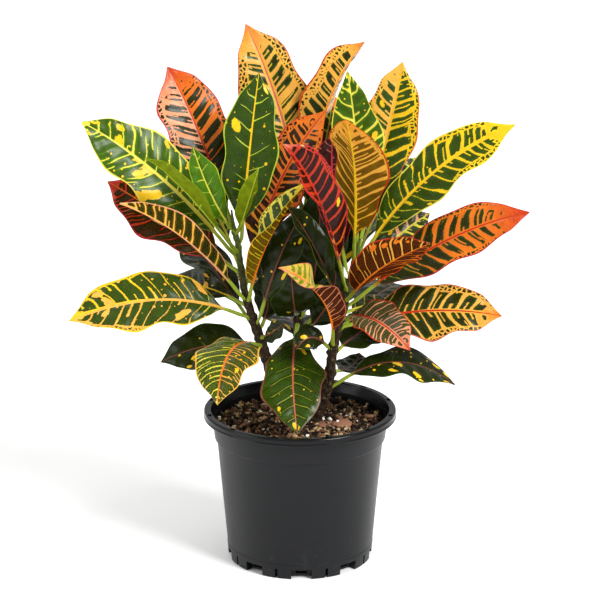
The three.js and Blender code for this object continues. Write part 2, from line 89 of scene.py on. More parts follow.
class PotSettings(PropertyGroup):
    """Sizes and finish of the nursery pot."""

    height: length("Height", "From the ground to the top of the rim", .132)
    rim_radius: length("Rim radius", "Outside of the rim", .0825)
    rim_inner_radius: length("Rim inner radius", "Where the rim's flat top ends", .076)
    lip_drop: length("Lip drop", "How far the rim's outer lip hangs down", .0064)
    band_radius: length("Band radius", "The wider band below the rim, at its top", .075)
    band_height: length("Band height", "Height of the wider band", .0175)
    body_top_radius: length("Body radius", "The tapered body, under the band", .071)
    foot_radius: length("Foot radius", "Outside of the foot ring at the ground", .062)
    foot_height: length("Foot height", "Height of the faint step over the feet", .0128)
    panel_radius: length("Panel radius", "The set-back panel behind each foot notch", .056)
    wall: length("Wall", "Thickness of the plastic", .0016)
    rounding: length("Rounding", "Radius on the moulded corners", .0006)
    feet: count("Feet", "Feet round the foot ring", 9)
    slots: count("Rim slots", "Small slots round the rim's top", 12)
    plastic: colour("Plastic", "Colour of the pot", "#121315")
    roughness: share("Roughness", "Roughness of the plastic", .36)


class MixSettings(PropertyGroup):
    """Sizes and colours of the potting mix."""

    top: length("Top", "Mean height of the mix above the ground", .118)
    bump: length("Bump", "Height of its broad unevenness", .0022)
    crumbs: count("Crumbs", "Bits of bark and peat on the surface", 2400)
    perlite: count("Perlite", "White grains on the surface", 130)
    chips: count("Chips", "Larger flat bark chips", 90)
    peat: colour("Peat", "Darkest part of the mix", "#140c07")
    bark: colour("Bark", "Middle tone of the bits", "#563923")
    straw: colour("Straw", "Pale bits", "#b99a6f")
    white: colour("Perlite colour", "The white grains", "#e6ddcb")
    red_bark: colour("Red bark", "The reddish chips", "#875c46")


class StemSettings(PropertyGroup):
    """Finish of the stems."""

    swell: length("Node swelling", "How far a stem swells where a leaf leaves it", .0007)
    ridge: length("Ridge", "Depth of the bark's grain", .00022)
    brown: colour("Bark", "Old bark low on the stem", "#3a2a1a")
    grey: colour("Scars", "Cork and leaf scars", "#6f5d3e")
    green: colour("Green wood", "Young stem near the growing tips", "#3d5417")


class LeafSettings(PropertyGroup):
    """Sizes and colours of the leaves."""

    thickness: length("Blade thickness", "Thickness of a blade beside its midrib", .0008)
    petiole: length("Petiole radius", "Radius of a leaf's stalk", .0017)
    quilt: length("Quilting", "How far the blade rises between its side veins", .0007)
    veins: count("Side veins", "Side veins on each half of a large blade", 8)
    slant: share("Slant", "How far a side vein leans to the tip, as a share of the blade", .13)
    gloss: share("Roughness", "Roughness of the waxy upper side", .28)
    tone: share("Tone", "Share of the colours below that the blade returns", .88)
    crimson: colour("Crimson", "Ribs and margins of red leaves", "#b92a36")
    scarlet: colour("Scarlet", "Veins of red leaves", "#be3318")
    coral: colour("Coral", "Pale flush of red leaves", "#e8a074")
    orange: colour("Orange", "Veins of orange leaves", "#e4761c")
    amber: colour("Amber", "Pale flush of orange leaves", "#eeb044")
    gold: colour("Gold", "Deep yellow veins and blotches", "#f0c31a")
    lemon: colour("Lemon", "Light yellow veins", "#e3d94a")
    lime: colour("Lime", "Thin yellow-green veins", "#b3c83c")
    pink: colour("Pink", "Ribs of old dark leaves", "#c9654f")
    leaf_green: colour("Leaf green", "Lighter cells", "#385a0a")
    deep_green: colour("Deep green", "Dark cells", "#1f2904")
    mid_green: colour("Mid green", "Cells of younger leaves", "#2d470a")
    olive: colour("Olive", "Cells of turned golden leaves", "#70540a")
    fresh_green: colour("Fresh green", "New leaves", "#4a780c")
    moss: colour("Moss", "Stalks and green undersides", "#7b8f12")
    slate: colour("Slate", "Greyish green cells", "#36431f")
    maroon: colour("Maroon", "Cells of red leaves", "#2d0a03")
    bronze: colour("Bronze", "Brown-olive undersides", "#86520c")
    rust: colour("Rust", "Maroon-brown undersides", "#4b1c07")
    umber: colour("Umber", "Ribs of old inner leaves", "#84463a")
    stalk: colour("Stalk", "Leaf stalks", "#9aad34")


class StageSettings(PropertyGroup):
    """Camera, floor and lights."""

    elevation: amount("Elevation", "Angle of the camera above the horizon", math.radians(16.28),
                      subtype="ANGLE", unit="ROTATION")
    distance: length("Distance", "From the camera to the point it looks at", 1.8467)
    target_height: length("Target height", "Height of the point the camera looks at", .2275)
    lens: amount("Lens", "Focal length on a 36 mm sensor", 131.67, subtype="DISTANCE_CAMERA")
    floor: colour("Floor", "Colour of the floor", "#fbfbfb")
    key: amount("Key light", "Strength of the distant key light", 3.8, min=0)
    fill: amount("Soft lights", "Power of the two soft lights", 13, min=0, unit="POWER")
    sky: share("Surround", "Strength of the white surround", .56)


# ---- meshes ----
def smooth(low, high, value):
    """0 below low, 1 above high, and an S-shaped rise between them; low may be the larger."""
    t = np.clip((value - low) / (high - low), 0, 1)
    return t * t * (3 - 2 * t)


def unit(vectors):
    return vectors / np.linalg.norm(vectors, axis=-1, keepdims=True)


def circle(sides):
    """Evenly spread angles round a full turn."""
    return np.arange(sides) * 2 * math.pi / sides


def sheet_faces(rows, columns):
    """Quads of a grid of rows by columns, whose columns close into rings."""
    row, column = np.meshgrid(np.arange(rows - 1), np.arange(columns), indexing="ij")
    after = (column + 1) % columns
    corners = [row * columns + column, row * columns + after, (row + 1) * columns + after,
               (row + 1) * columns + column]
    return np.stack(corners, axis=-1).reshape(-1, 4)


def tube_faces(rings):
    """The quads and the two end faces of a closed tube, from its rings of points."""
    rows, columns = rings.shape[:2]
    end = np.arange(columns)
    return [sheet_faces(rows, columns), [end[::-1]], [end + (rows - 1) * columns]]


def add_object(name, data):
    """An object in the scene for a mesh, a light or the camera."""
    made = bpy.data.objects.new(name, data)
    bpy.context.scene.collection.objects.link(made)
    return made


def add_mesh(name, points, faces):
    """An object with a mesh of points and faces, which come as a list of arrays."""
    mesh = bpy.data.meshes.new(name)
    mesh.from_pydata(np.asarray(points, float).reshape(-1, 3).tolist(), [],
                     [face for part in faces for face in np.asarray(part).tolist()])
    return add_object(name, mesh)


def build(name, points, faces, slot, materials, replaces=(), flat=False):
    """A piece of the plant: its mesh, finish, body and the nodes it stands for."""
    piece = add_mesh(name, points, faces)
    if not flat:
        piece.data.shade_smooth()
    for material in materials:
        piece.data.materials.append(material)
    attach(piece, "root")
    if replaces:
        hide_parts(*replaces)
    return piece


def add_attribute(piece, name, values):
    """One number for each vertex, for the material to read."""
    layer = piece.data.attributes.new(name, "FLOAT", "POINT")
    layer.data.foreach_set("value", np.asarray(values, np.float32).ravel())


# ---- materials ----
def toned(base, portion):
    """A colour at a portion of its light."""
    return [portion * c for c in base]


class Wire:
    """A value running through a material: arithmetic on it adds Math nodes."""

    def __init__(self, tree, socket):
        self.tree = tree
        self.socket = socket

    def math(self, operation, *others):
        return self.tree.add("Math", self, *others, operation=operation)

    def __add__(self, other):
        return self.math("ADD", other)

    def __sub__(self, other):
        return self.math("SUBTRACT", other)

    def __mul__(self, other):
        return self.math("MULTIPLY", other)

    def __pow__(self, other):
        return self.math("POWER", other)

    def __abs__(self):
        return self.math("ABSOLUTE")

    def __rsub__(self, other):
        return self * -1 + other

    __radd__ = __add__
    __rmul__ = __mul__

    def near(self, other, blend):
        """The smaller of two values, rounded off where they meet."""
        return self.math("SMOOTH_MIN", other, blend)


class Finish:
    """A material's nodes, added a step at a time. Values are numbers, colours or Wires."""

    def __init__(self, name):
        self.material = bpy.data.materials.new(name)
        self.material.use_nodes = True
        self.nodes = self.material.node_tree.nodes
        self.links = self.material.node_tree.links
        self.shader = self.nodes["Principled BSDF"]

    def put(self, socket, value):
        if isinstance(value, Wire):
            self.links.new(value.socket, socket)
        elif hasattr(value, "__len__") and len(value) < len(socket.default_value):
            socket.default_value = (*value, 1)
        else:
            socket.default_value = value

    def add(self, kind, *values, output=0, named=None, **settings):
        """A shader node with its settings, its inputs in order, and its named inputs."""
        node = self.nodes.new("ShaderNode" + kind)
        for key, value in settings.items():
            setattr(node, key, value)
        for socket, value in zip(node.inputs, values):
            self.put(socket, value)
        for key, value in (named or {}).items():
            self.put(node.inputs[key], value)
        return Wire(self, node.outputs[output])

    def step(self, low, high, value):
        return self.add("MapRange", value, low, high, interpolation_type="SMOOTHSTEP")

    def below(self, limit, value, soft):
        """1 where a value is under a limit and 0 where it is over it, soft to both sides."""
        return self.step(limit + soft, limit - soft, value)

    def mix(self, amount, first, second):
        node = self.nodes.new("ShaderNodeMix")
        node.data_type = "RGBA"
        for socket, value in zip((node.inputs[0], *node.inputs[6:8]), (amount, first, second)):
            self.put(socket, value)
        return Wire(self, node.outputs[2])

    def uv(self, name):
        return self.add("UVMap", uv_map=name)

    def place(self):
        return self.add("TexCoord", output="Object")

    def attribute(self, name):
        return self.add("Attribute", attribute_name=name, output="Fac")

    def split(self, vector):
        node = self.nodes.new("ShaderNodeSeparateXYZ")
        self.put(node.inputs[0], vector)
        return [Wire(self, output) for output in node.outputs]

    def stretch(self, vector, scale, move=(0, 0, 0)):
        """The vector times scale plus move."""
        return self.add("VectorMath", vector, scale, move, operation="MULTIPLY_ADD")

    def chances(self, number):
        """Three random numbers that belong to a whole number."""
        return self.split(self.add("TexWhiteNoise", noise_dimensions="1D", output=1,
                                   named={"W": number}))

    def noise(self, vector, scale, detail=2., output="Fac"):
        return self.add("TexNoise", named={"Vector": vector, "Scale": scale, "Detail": detail},
                        output=output)

    def cells(self, vector, scale, feature="F1", randomness=1., output="Distance", flat=True):
        return self.add("TexVoronoi", feature=feature, output=output,
                        voronoi_dimensions="2D" if flat else "3D",
                        named={"Vector": vector, "Scale": scale, "Randomness": randomness})

    def bump(self, height, distance, strength=1.):
        return self.add("Bump", named={"Height": height, "Distance": distance,
                                       "Strength": strength}, output="Normal")

    def finish(self, base, roughness, specular, normal=None):
        """Joins the colour, roughness and relief to the shader and sets its specular level."""
        self.put(self.shader.inputs["Base Color"], base)
        self.put(self.shader.inputs["Roughness"], roughness)
        self.put(self.shader.inputs["Specular IOR Level"], specular)
        if normal is not None:
            self.put(self.shader.inputs["Normal"], normal)
        return self.material


# ---- the pot ----
FLOOR_LIFT = .0015  # the floor's underside over the ground
LEDGE = .0111  # the step inside the pot, over its feet
FOOT_FLARE = .0008  # how far the body starts outside the foot ring
SHOULDER = .002  # how far the band's lower edge stands out from the body
BAND_DROP = .0085  # from the rim's top to the band's top
NOTCH_HEIGHT = .0085  # height of the notches between the feet
SLOT_DEPTH = .0012  # depth of the rim's slots
SLOT_OUTER = .0021  # their outer and inner ends, in from the rim's outside
SLOT_INNER = .0051


def pot_profile(pot):
    """The pot's half section, as (radius, height) from the floor's middle underneath, out and
    up the outside, over the rim and down the inside."""
    lip_bottom = pot.height - pot.lip_drop
    band_top = pot.height - BAND_DROP
    band_bottom = band_top - pot.band_height
    hub = .008
    inside_panel = pot.panel_radius - pot.wall
    outside = [
        (0, 0), (hub, 0), (hub + .001, FLOOR_LIFT), (inside_panel, FLOOR_LIFT), (inside_panel, 0),
        (pot.foot_radius, 0),
        (pot.foot_radius + .0011, pot.foot_height - .0003),
        (pot.foot_radius + FOOT_FLARE, pot.foot_height + .0003),
        (pot.body_top_radius, band_bottom),
        (pot.body_top_radius + SHOULDER, band_bottom + .0012),
        (pot.band_radius, band_top),
        (pot.band_radius + .0026, pot.height - pot.wall),
    ]
    rim = [
        (pot.rim_radius - .0021, pot.height - pot.wall),
        (pot.rim_radius - .0019, lip_bottom),
        (pot.rim_radius - .0003, lip_bottom),
        (pot.rim_radius, lip_bottom + .0012),
        (pot.rim_radius - .0005, lip_bottom + .0022),
        (pot.rim_radius - .0005, pot.height - .001),
        (pot.rim_radius - .0013, pot.height),
        (pot.rim_inner_radius + .0006, pot.height),
        (pot.rim_inner_radius, pot.height - .0006),
    ]
    inside = [
        (pot.band_radius - pot.wall, band_top),
        (pot.body_top_radius + SHOULDER - pot.wall, band_bottom + .0018),
        (pot.body_top_radius - pot.wall, band_bottom),
        (pot.foot_radius + FOOT_FLARE - pot.wall, LEDGE),
        (inside_panel, LEDGE),
        (inside_panel, FLOOR_LIFT + pot.wall),
        (0, FLOOR_LIFT + pot.wall),
    ]
    return np.array(outside + rim + inside)


def rounded(profile, radius, steps=4):
    """The profile with each corner replaced by a parabola that starts and ends up to radius from
    it, and never past 0.4 of the way to the next corner."""
    corner = profile[1:-1, None]
    before = profile[:-2, None] - corner
    after = profile[2:, None] - corner

    def reach(side):
        size = np.linalg.norm(side, axis=-1, keepdims=True)
        return side / size * np.minimum(radius, .4 * size)

    t = np.linspace(0, 1, steps)[None, :, None]
    arcs = corner + reach(before) * (1 - t) ** 2 + reach(after) * t ** 2
    return np.concatenate([profile[:1], arcs.reshape(-1, 2), profile[-1:]])


def lathe(profile, sides):
    """Points (r cos a, r sin a, z) of a profile turned round Z, its ends poles on the axis, with
    the quads between its rings and the triangles at its poles."""
    angle = circle(sides)
    r, z = profile[1:-1, :1], profile[1:-1, 1:]
    rings = np.stack([r * np.cos(angle), r * np.sin(angle), z + 0 * angle], axis=-1)
    poles = [(0, 0, profile[0, 1]), (0, 0, profile[-1, 1])]
    points = np.concatenate([rings.reshape(-1, 3), poles])
    around = np.arange(sides)
    after = np.roll(around, -1)
    last = (len(profile) - 3) * sides
    pole = np.full(sides, len(points) - 2)
    fans = [np.stack([pole, after, around], axis=-1),
            np.stack([pole + 1, last + around, last + after], axis=-1)]
    return points, [sheet_faces(len(profile) - 2, sides), *fans]


def radial_blocks(across, deep, high, radius, angles, middle):
    """Boxes that point outwards from Z, one at each angle: the eight corners of a box, moved out
    to the radius, turned to the angle and lifted to the middle height."""
    sign = np.array([(x, y, z) for x in (-1, 1) for y in (-1, 1) for z in (-1, 1)]) / 2
    corner = sign * (deep, across, high) + (radius, 0, middle)
    cos, sin = np.cos(angles)[:, None], np.sin(angles)[:, None]
    points = np.stack([corner[:, 0] * cos - corner[:, 1] * sin,
                       corner[:, 0] * sin + corner[:, 1] * cos,
                       corner[:, 2] + 0 * cos], axis=-1)
    sides = np.array([(0, 1, 3, 2), (4, 6, 7, 5), (0, 4, 5, 1), (2, 3, 7, 6), (0, 2, 6, 4),
                      (1, 5, 7, 3)])
    faces = sides + np.arange(len(angles))[:, None, None] * 8
    return points.reshape(-1, 3), faces.reshape(-1, 4)


def carve(piece, blocks):
    """Takes the blocks out of a piece, one set of separate boxes after another."""
    cutters = [add_mesh("cutter", points, [faces]) for points, faces in blocks]
    for cutter in cutters:
        modifier = piece.modifiers.new("Cut", "BOOLEAN")
        modifier.operation = "DIFFERENCE"
        modifier.solver = "MANIFOLD"
        modifier.object = cutter
    graph = bpy.context.evaluated_depsgraph_get()
    carved = bpy.data.meshes.new_from_object(piece.evaluated_get(graph))
    if len(carved.vertices) == len(piece.data.vertices):
        raise RuntimeError("the cuts in the pot had no effect")
    piece.modifiers.clear()
    piece.data = carved
    for cutter in cutters:
        bpy.data.objects.remove(cutter)


def pot_cuts(pot):
    """The foot notches, the hollows behind the feet, their slits, the drain holes and the rim's
    slots, as sets of boxes. The slots are shallow, so that no floor shows through them."""
    step = 2 * math.pi / pot.feet
    notches = math.radians(-90 + 1.2) + np.arange(pot.feet) * step
    feet = notches + step / 2
    notch_angle = math.radians(16)
    skirt = pot.foot_radius + .004 - pot.panel_radius
    notch_width = 2 * pot.foot_radius * math.sin(notch_angle / 2)
    pocket_width = 2 * pot.panel_radius * math.sin((step - notch_angle) / 2) - 2 * pot.wall
    pocket_depth = pot.foot_radius - 2 * pot.wall - pot.panel_radius - .0006
    drain = .0044
    slots = math.radians(15) + circle(pot.slots)

    def from_below(across, deep, radius, angles, top):
        return radial_blocks(across, deep, top + .002, radius, angles, top / 2 - .001)

    return [
        from_below(notch_width, skirt, pot.panel_radius + skirt / 2, notches, NOTCH_HEIGHT),
        from_below(notch_width, skirt, pot.panel_radius - .002 + skirt / 2, notches, FLOOR_LIFT),
        from_below(pocket_width, pocket_depth, pot.panel_radius + pot.wall + pocket_depth / 2,
                   feet, NOTCH_HEIGHT),
        from_below(.0024, .008, pot.foot_radius + .0006, feet, NOTCH_HEIGHT),
        radial_blocks(.01, .006, drain, pot.panel_radius, notches,
                      FLOOR_LIFT + pot.wall + drain / 2),
        radial_blocks(.0058, SLOT_INNER - SLOT_OUTER, .006,
                      pot.rim_radius - (SLOT_INNER + SLOT_OUTER) / 2, slots,
                      pot.height + .003 - SLOT_DEPTH),
    ]


def plastic(pot):
    """Satin black plastic: a fine moulded grain, faint streaks, dust and soil marks, a darker
    and smoother rim, and painted shade that makes the floors of the shallow rim slots nearly
    black and rough, so that they pass for holes."""
    tree = Finish("nursery_pot_plastic")
    place = tree.place()
    x, y, height = tree.split(place)
    inwards = pot.rim_radius - (x * x + y * y) ** .5
    # Painted shade: this mask finds the floors of the shallow rim slots, by height and by distance
    # in from the rim's outside.
    slot_painted_shade = tree.step(pot.height - .0003, pot.height - .0009, height)
    slot_painted_shade = slot_painted_shade * tree.step(SLOT_INNER + .0002, SLOT_INNER - .0001, inwards)
    slot_painted_shade = slot_painted_shade * tree.step(SLOT_OUTER - .0001, SLOT_OUTER + .0002, inwards)
    grain = tree.noise(place, 2600, 2)
    cloud = tree.noise(place, 38, 4)
    streaks = tree.noise(tree.stretch(place, (90, 90, 7)), 1, 3)
    dust = tree.step(.55, .8, tree.noise(place, 150, 6)) * tree.step(.05, 0, height)
    inside = tree.step(.6, .75, tree.noise(place, 420, 3)) * tree.step(.124, .118, height)
    rim = tree.step(pot.height - BAND_DROP, pot.height - BAND_DROP + .001, height)
    base = tree.mix(cloud * .5, pot.plastic, toned(pot.plastic, 1.35))
    base = tree.mix(tree.step(.5, .75, streaks) * .25, base, toned(pot.plastic, 1.7))
    base = tree.mix(dust * .08, base, linear("#7d7468"))
    base = tree.mix(inside * .05, base, linear("#5b4a3a"))
    base = tree.mix(rim * .6, base, toned(pot.plastic, .4))
    # The slot floors take the painted shade: nearly black, standing in for the dark inside a hole.
    base = tree.mix(slot_painted_shade, base, toned(pot.plastic, .1))
    rough = pot.roughness - rim * .16 + (cloud - .5) * .1 + (streaks - .5) * .08
    rough = rough + dust * .2 + slot_painted_shade * .6
    relief = tree.bump(grain * .6 + streaks * .5 + cloud, .00008, .5)
    return tree.finish(base, rough, .2, relief)


class CROTON_OT_pot(Operator):
    """Builds the nursery pot: a turned shell with feet, drain holes and slots in its rim"""

    bl_idname = "croton.pot"
    bl_label = "Nursery pot"

    def execute(self, context):
        pot = context.scene.croton_pot
        points, faces = lathe(rounded(pot_profile(pot), pot.rounding), 288)
        piece = build("nursery_pot", points, faces, "pot_plastic", [plastic(pot)], ["pot"])
        carve(piece, pot_cuts(pot))
        piece.data.set_sharp_from_angle(angle=math.radians(32))
        return {"FINISHED"}


# ---- the potting mix ----
def mix_height(mix, x, y):
    """The top of the mix: its mean level, the broad unevenness of the solid that it stands for
    (three crossed waves), and sixty short waves of random direction, 3 to 12 mm long."""
    mx, my = x * 1000, y * 1000
    broad = np.sin(.31 * mx + .9) * np.cos(.27 * my)
    crossed = np.sin(.52 * mx - .44 * my)
    short = np.cos(.83 * my + .4 * mx + 1.7)
    level = mix.top + mix.bump * (.5 * broad + .35 * crossed + .25 * short)
    rng = np.random.default_rng(5)
    wave = 2 * math.pi / rng.uniform(.003, .012, 60)
    turn, phase = rng.uniform(0, 2 * math.pi, (2, 60))
    swing = np.sin((x[..., None] * np.cos(turn) + y[..., None] * np.sin(turn)) * wave + phase)
    return level + .00016 * swing.sum(-1)


def mix_body(pot, mix):
    """The mix as one closed body: its side follows the pot's inside 0.4 mm away, and its top is
    a disc of rings lifted to mix_height."""
    gap = .0004
    foot = pot.panel_radius - pot.wall - gap
    floor = FLOOR_LIFT + pot.wall + gap
    edge = pot.band_radius - pot.wall - .0013
    band_bottom = pot.height - BAND_DROP - pot.band_height
    side = [
        (0, floor), (foot, floor), (foot, LEDGE + gap),
        (pot.foot_radius + FOOT_FLARE - pot.wall - gap, LEDGE + gap),
        (pot.body_top_radius - pot.wall - 2 * gap, band_bottom),
        (edge - .0015, band_bottom + .003), (edge, mix.top - .0015),
    ]
    top = [(edge * s, mix.top) for s in np.linspace(.99, 0, 72)]
    points, faces = lathe(np.array(side + top), 220)
    lifted = points[:, 2] > mix.top - 1e-5
    points[lifted, 2] = mix_height(mix, points[lifted, 0], points[lifted, 1])
    return points, faces


def ball():
    """The 12 corners and 20 faces of an icosahedron with unit radius."""
    g = (1 + math.sqrt(5)) / 2
    points = np.array([(a, b * g, 0) for a in (-1, 1) for b in (-1, 1)])
    points = unit(np.concatenate([points, np.roll(points, 1, 1), np.roll(points, 2, 1)]))
    near = (points @ points.T) > .4
    faces = [(a, b, c) for a in range(12) for b in range(a + 1, 12) for c in range(b + 1, 12)
             if near[a, b] and near[b, c] and near[a, c]]
    return points, outwards(points, np.array(faces))


def outwards(points, faces):
    """The triangles of a body round the origin, each turned to face away from it."""
    corner = points[faces]
    normal = np.cross(corner[:, 1] - corner[:, 0], corner[:, 2] - corner[:, 0])
    inwards = (normal * corner.mean(1)).sum(-1) < 0
    return np.where(inwards[:, None], faces[:, ::-1], faces)


def slab(sides):
    """A flat chip of triangles: a ring of radius 1 between two of radius 0.8, one above and one
    below it, which low cones close."""
    profile = np.array([(0, 1.1), (.8, 1), (1, 0), (.8, -1), (0, -1.1)])
    points, (quads, *cones) = lathe(profile, sides)
    faces = np.concatenate([quads[:, :3], quads[:, [0, 2, 3]], *cones])
    return points, outwards(points, faces)


def turn_about(axis, angle):
    """Rotations about X, Y or Z (0, 1 or 2) by the angles, as matrices."""
    first, second = (axis + 1) % 3, (axis + 2) % 3
    matrix = np.zeros((len(angle), 3, 3))
    matrix[:, axis, axis] = 1
    matrix[:, first, first] = matrix[:, second, second] = np.cos(angle)
    matrix[:, second, first] = np.sin(angle)
    matrix[:, first, second] = -np.sin(angle)
    return matrix


def strew(name, shape, rng, centres, sizes, tilt, jitter, finish, flat=True):
    """Copies of a shape at the centres, as one piece: each corner moved in or out by up to
    jitter, the copy scaled along its three axes, spun about Z and tipped by up to tilt. Each
    copy has one random number, its tint."""
    corners, sides = shape
    number = len(centres)
    bodies = corners[None] * rng.uniform(1 - jitter, 1 + jitter, (number, len(corners), 1))
    spin = turn_about(2, rng.uniform(0, 2 * math.pi, number))
    lean_x, lean_y = rng.uniform(-tilt, tilt, (2, number))
    turns = turn_about(0, lean_x) @ turn_about(1, lean_y) @ spin
    bodies = np.einsum("nij,nkj->nki", turns, bodies * sizes[:, None])
    faces = sides[None] + np.arange(number)[:, None, None] * len(corners)
    piece = build(name, bodies + centres[:, None], [faces.reshape(-1, sides.shape[1])],
                  "potting_mix", [finish], flat=flat)
    add_attribute(piece, "tint", np.repeat(rng.uniform(0, 1, number), len(corners)))


def spots_on_mix(mix, rng, number, reach, lift):
    """Points spread evenly over the mix's disc, lifted over its top."""
    radius = reach * np.sqrt(rng.uniform(0, 1, number))
    angle = rng.uniform(0, 2 * math.pi, number)
    x, y = radius * np.cos(angle), radius * np.sin(angle)
    return np.stack([x, y, mix_height(mix, x, y) + lift], axis=-1)


def crumb_finish(name, mix, shades, stops, relief_size):
    """Dull broken bark: each piece takes its own shade from a row of colours, with fibres and
    pits on its faces."""
    tree = Finish(name)
    place = tree.place()
    tint = tree.attribute("tint")
    fibre = tree.noise(tree.stretch(place, (900, 300, 1200)), 1, 4)
    pits = tree.noise(place, 1500, 3)
    shade = shades[0]
    value = tint + (fibre - .5) * .3
    for at, code in zip(stops, shades[1:]):
        shade = tree.mix(tree.step(at - .07, at + .07, value), shade, code)
    dark = tree.mix(tree.step(.5, .3, pits) * .6, shade, mix.peat)
    relief = tree.bump(fibre + pits, relief_size, .9)
    return tree.finish(dark, .86 + (pits - .5) * .2, .3, relief)


def ground_finish(mix):
    """Fine dark peat between the larger bits."""
    tree = Finish("potting_mix_ground")
    place = tree.place()
    coarse = tree.noise(place, 420, 5)
    grit = tree.cells(place, 900, flat=False)
    base = tree.mix(tree.step(.45, .7, coarse), mix.peat, mix.bark)
    base = tree.mix(tree.step(.25, .1, grit) * .25, base, mix.straw)
    return tree.finish(base, .9, .25, tree.bump(coarse + grit, .0006))


class CROTON_OT_potting_mix(Operator):
    """Builds the potting mix: its uneven body, crumbs of bark and peat, perlite and bark chips"""

    bl_idname = "croton.potting_mix"
    bl_label = "Potting mix"

    def execute(self, context):
        pot, mix = context.scene.croton_pot, context.scene.croton_mix
        rng = np.random.default_rng(11)
        reach = pot.band_radius - pot.wall - .003
        points, faces = mix_body(pot, mix)
        build("potting_mix", points, faces, "potting_mix", [ground_finish(mix)], ["soil"])

        sizes = rng.uniform(.0008, .0022, (mix.crumbs, 1))
        sizes = sizes * rng.uniform(.5, 1.5, (mix.crumbs, 3))
        centres = spots_on_mix(mix, rng, mix.crumbs, reach, .0006)
        shades = [mix.peat, mix.bark, linear("#7d5a3c"), mix.straw]
        strew("mix_crumbs", ball(), rng, centres, sizes, 1.5, .3,
              crumb_finish("bark_crumbs", mix, shades, (.42, .66, .86), .0003))

        sizes = rng.uniform(.0008, .0019, (mix.perlite, 1))
        sizes = sizes * rng.uniform(.7, 1.2, (mix.perlite, 3))
        centres = spots_on_mix(mix, rng, mix.perlite, reach, .0013)
        shades = [linear("#bfa988"), mix.white, linear("#f4efe4")]
        strew("mix_perlite", ball(), rng, centres, sizes, 1.5, .16,
              crumb_finish("perlite_grains", mix, shades, (.25, .7), .0002))

        sizes = rng.uniform(.6, 1.3, (mix.chips, 3)) * (.0036, .0021, .0008)
        centres = spots_on_mix(mix, rng, mix.chips, reach - .003, .0014)
        shades = [mix.bark, mix.red_bark, mix.straw]
        strew("mix_chips", slab(9), rng, centres, sizes, .5, .2,
              crumb_finish("bark_chips", mix, shades, (.35, .7), .0003))

        x, y = np.array([(.022, -.0105), (.0358, -.0085), (.06, .01), (-.046, -.012)]).T
        centres = np.stack([x, y, mix_height(mix, x, y) + .0032], axis=-1)
        sizes = np.array([(.0096, .0078, .0015), (.0094, .008, .0017), (.0056, .0046, .001),
                          (.005, .004, .001)])
        shades = [mix.red_bark, linear("#96684f")]
        strew("mix_large_chips", slab(14), rng, centres, sizes, .16, .14,
              crumb_finish("red_bark_chips", mix, shades, (.5,), .0004), flat=False)
        return {"FINISHED"}


# ---- the stems ----
STEMS = {  # each stem's way up, as (x, y, z, radius) from its lower end to its growing tip
    "left": [
        (-.004, .004, .058, .0046), (-.011, .003, .118, .0049), (-.024, .002, .16, .0042),
        (-.033, .002, .19, .0038), (-.04, .003, .211, .0034), (-.046, .004, .231, .003),
        (-.05, .006, .257, .0025), (-.053, .007, .279, .0021), (-.056, .005, .293, .0016),
        (-.057, .002, .305, .0007)],
    "right": [
        (.006, .002, .058, .0044), (.013, 0, .118, .0046), (.024, -.002, .153, .004),
        (.027, -.004, .178, .0036), (.03, -.005, .198, .0033), (.036, -.006, .219, .003),
        (.04, -.007, .238, .0026), (.044, -.007, .257, .0022), (.048, -.007, .272, .0017),
        (.05, -.007, .283, .0007)],
    "back": [
        (0, .022, .058, .0044), (.001, .026, .118, .0047), (0, .031, .165, .004),
        (-.002, .035, .205, .0035), (-.002, .037, .245, .003), (.001, .038, .275, .0025),
        (.002, .038, .292, .002), (.002, .037, .302, .0008)],
}


def stem_line(name, steps=400):
    """Points of the smooth curve through a stem's points and their directions: between two
    points it is a cubic whose end slopes come from the neighbours on both sides, weighed by the
    square roots of the distances (a centripetal Catmull-Rom curve)."""
    given = np.array(STEMS[name])[:, :3]
    ends = np.concatenate([[2 * given[0] - given[1]], given, [2 * given[-1] - given[-2]]])
    at = np.linspace(0, len(given) - 1, steps)
    index = np.minimum(at.astype(int), len(given) - 2)
    t = (at - index)[:, None]
    p0, p1, p2, p3 = (ends[index + i] for i in range(4))

    def gap(a, b):
        return np.sqrt(np.linalg.norm(b - a, axis=1, keepdims=True))

    d0, d1, d2 = gap(p0, p1), gap(p1, p2), gap(p2, p3)
    slope1 = ((p1 - p0) / d0 - (p2 - p0) / (d0 + d1) + (p2 - p1) / d1) * d1
    slope2 = ((p2 - p1) / d1 - (p3 - p1) / (d1 + d2) + (p3 - p2) / d2) * d1
    cube = 2 * p1 - 2 * p2 + slope1 + slope2
    square = -3 * p1 + 3 * p2 - 2 * slope1 - slope2
    points = p1 + slope1 * t + square * t ** 2 + cube * t ** 3
    return points, unit(np.gradient(points, axis=0))


def stem_radius(name, height):
    """The stem's radius at a height, straight between the given points."""
    given = np.array(STEMS[name])
    return np.interp(height, given[:, 2], given[:, 3])


def stem_at(name, height):
    """The stem's point and direction at a height."""
    points, along = stem_line(name, 4000)
    at = [np.array([np.interp(height, points[:, 2], values[:, i]) for i in range(3)])
          for values in (points, along)]
    return at[0], unit(at[1])


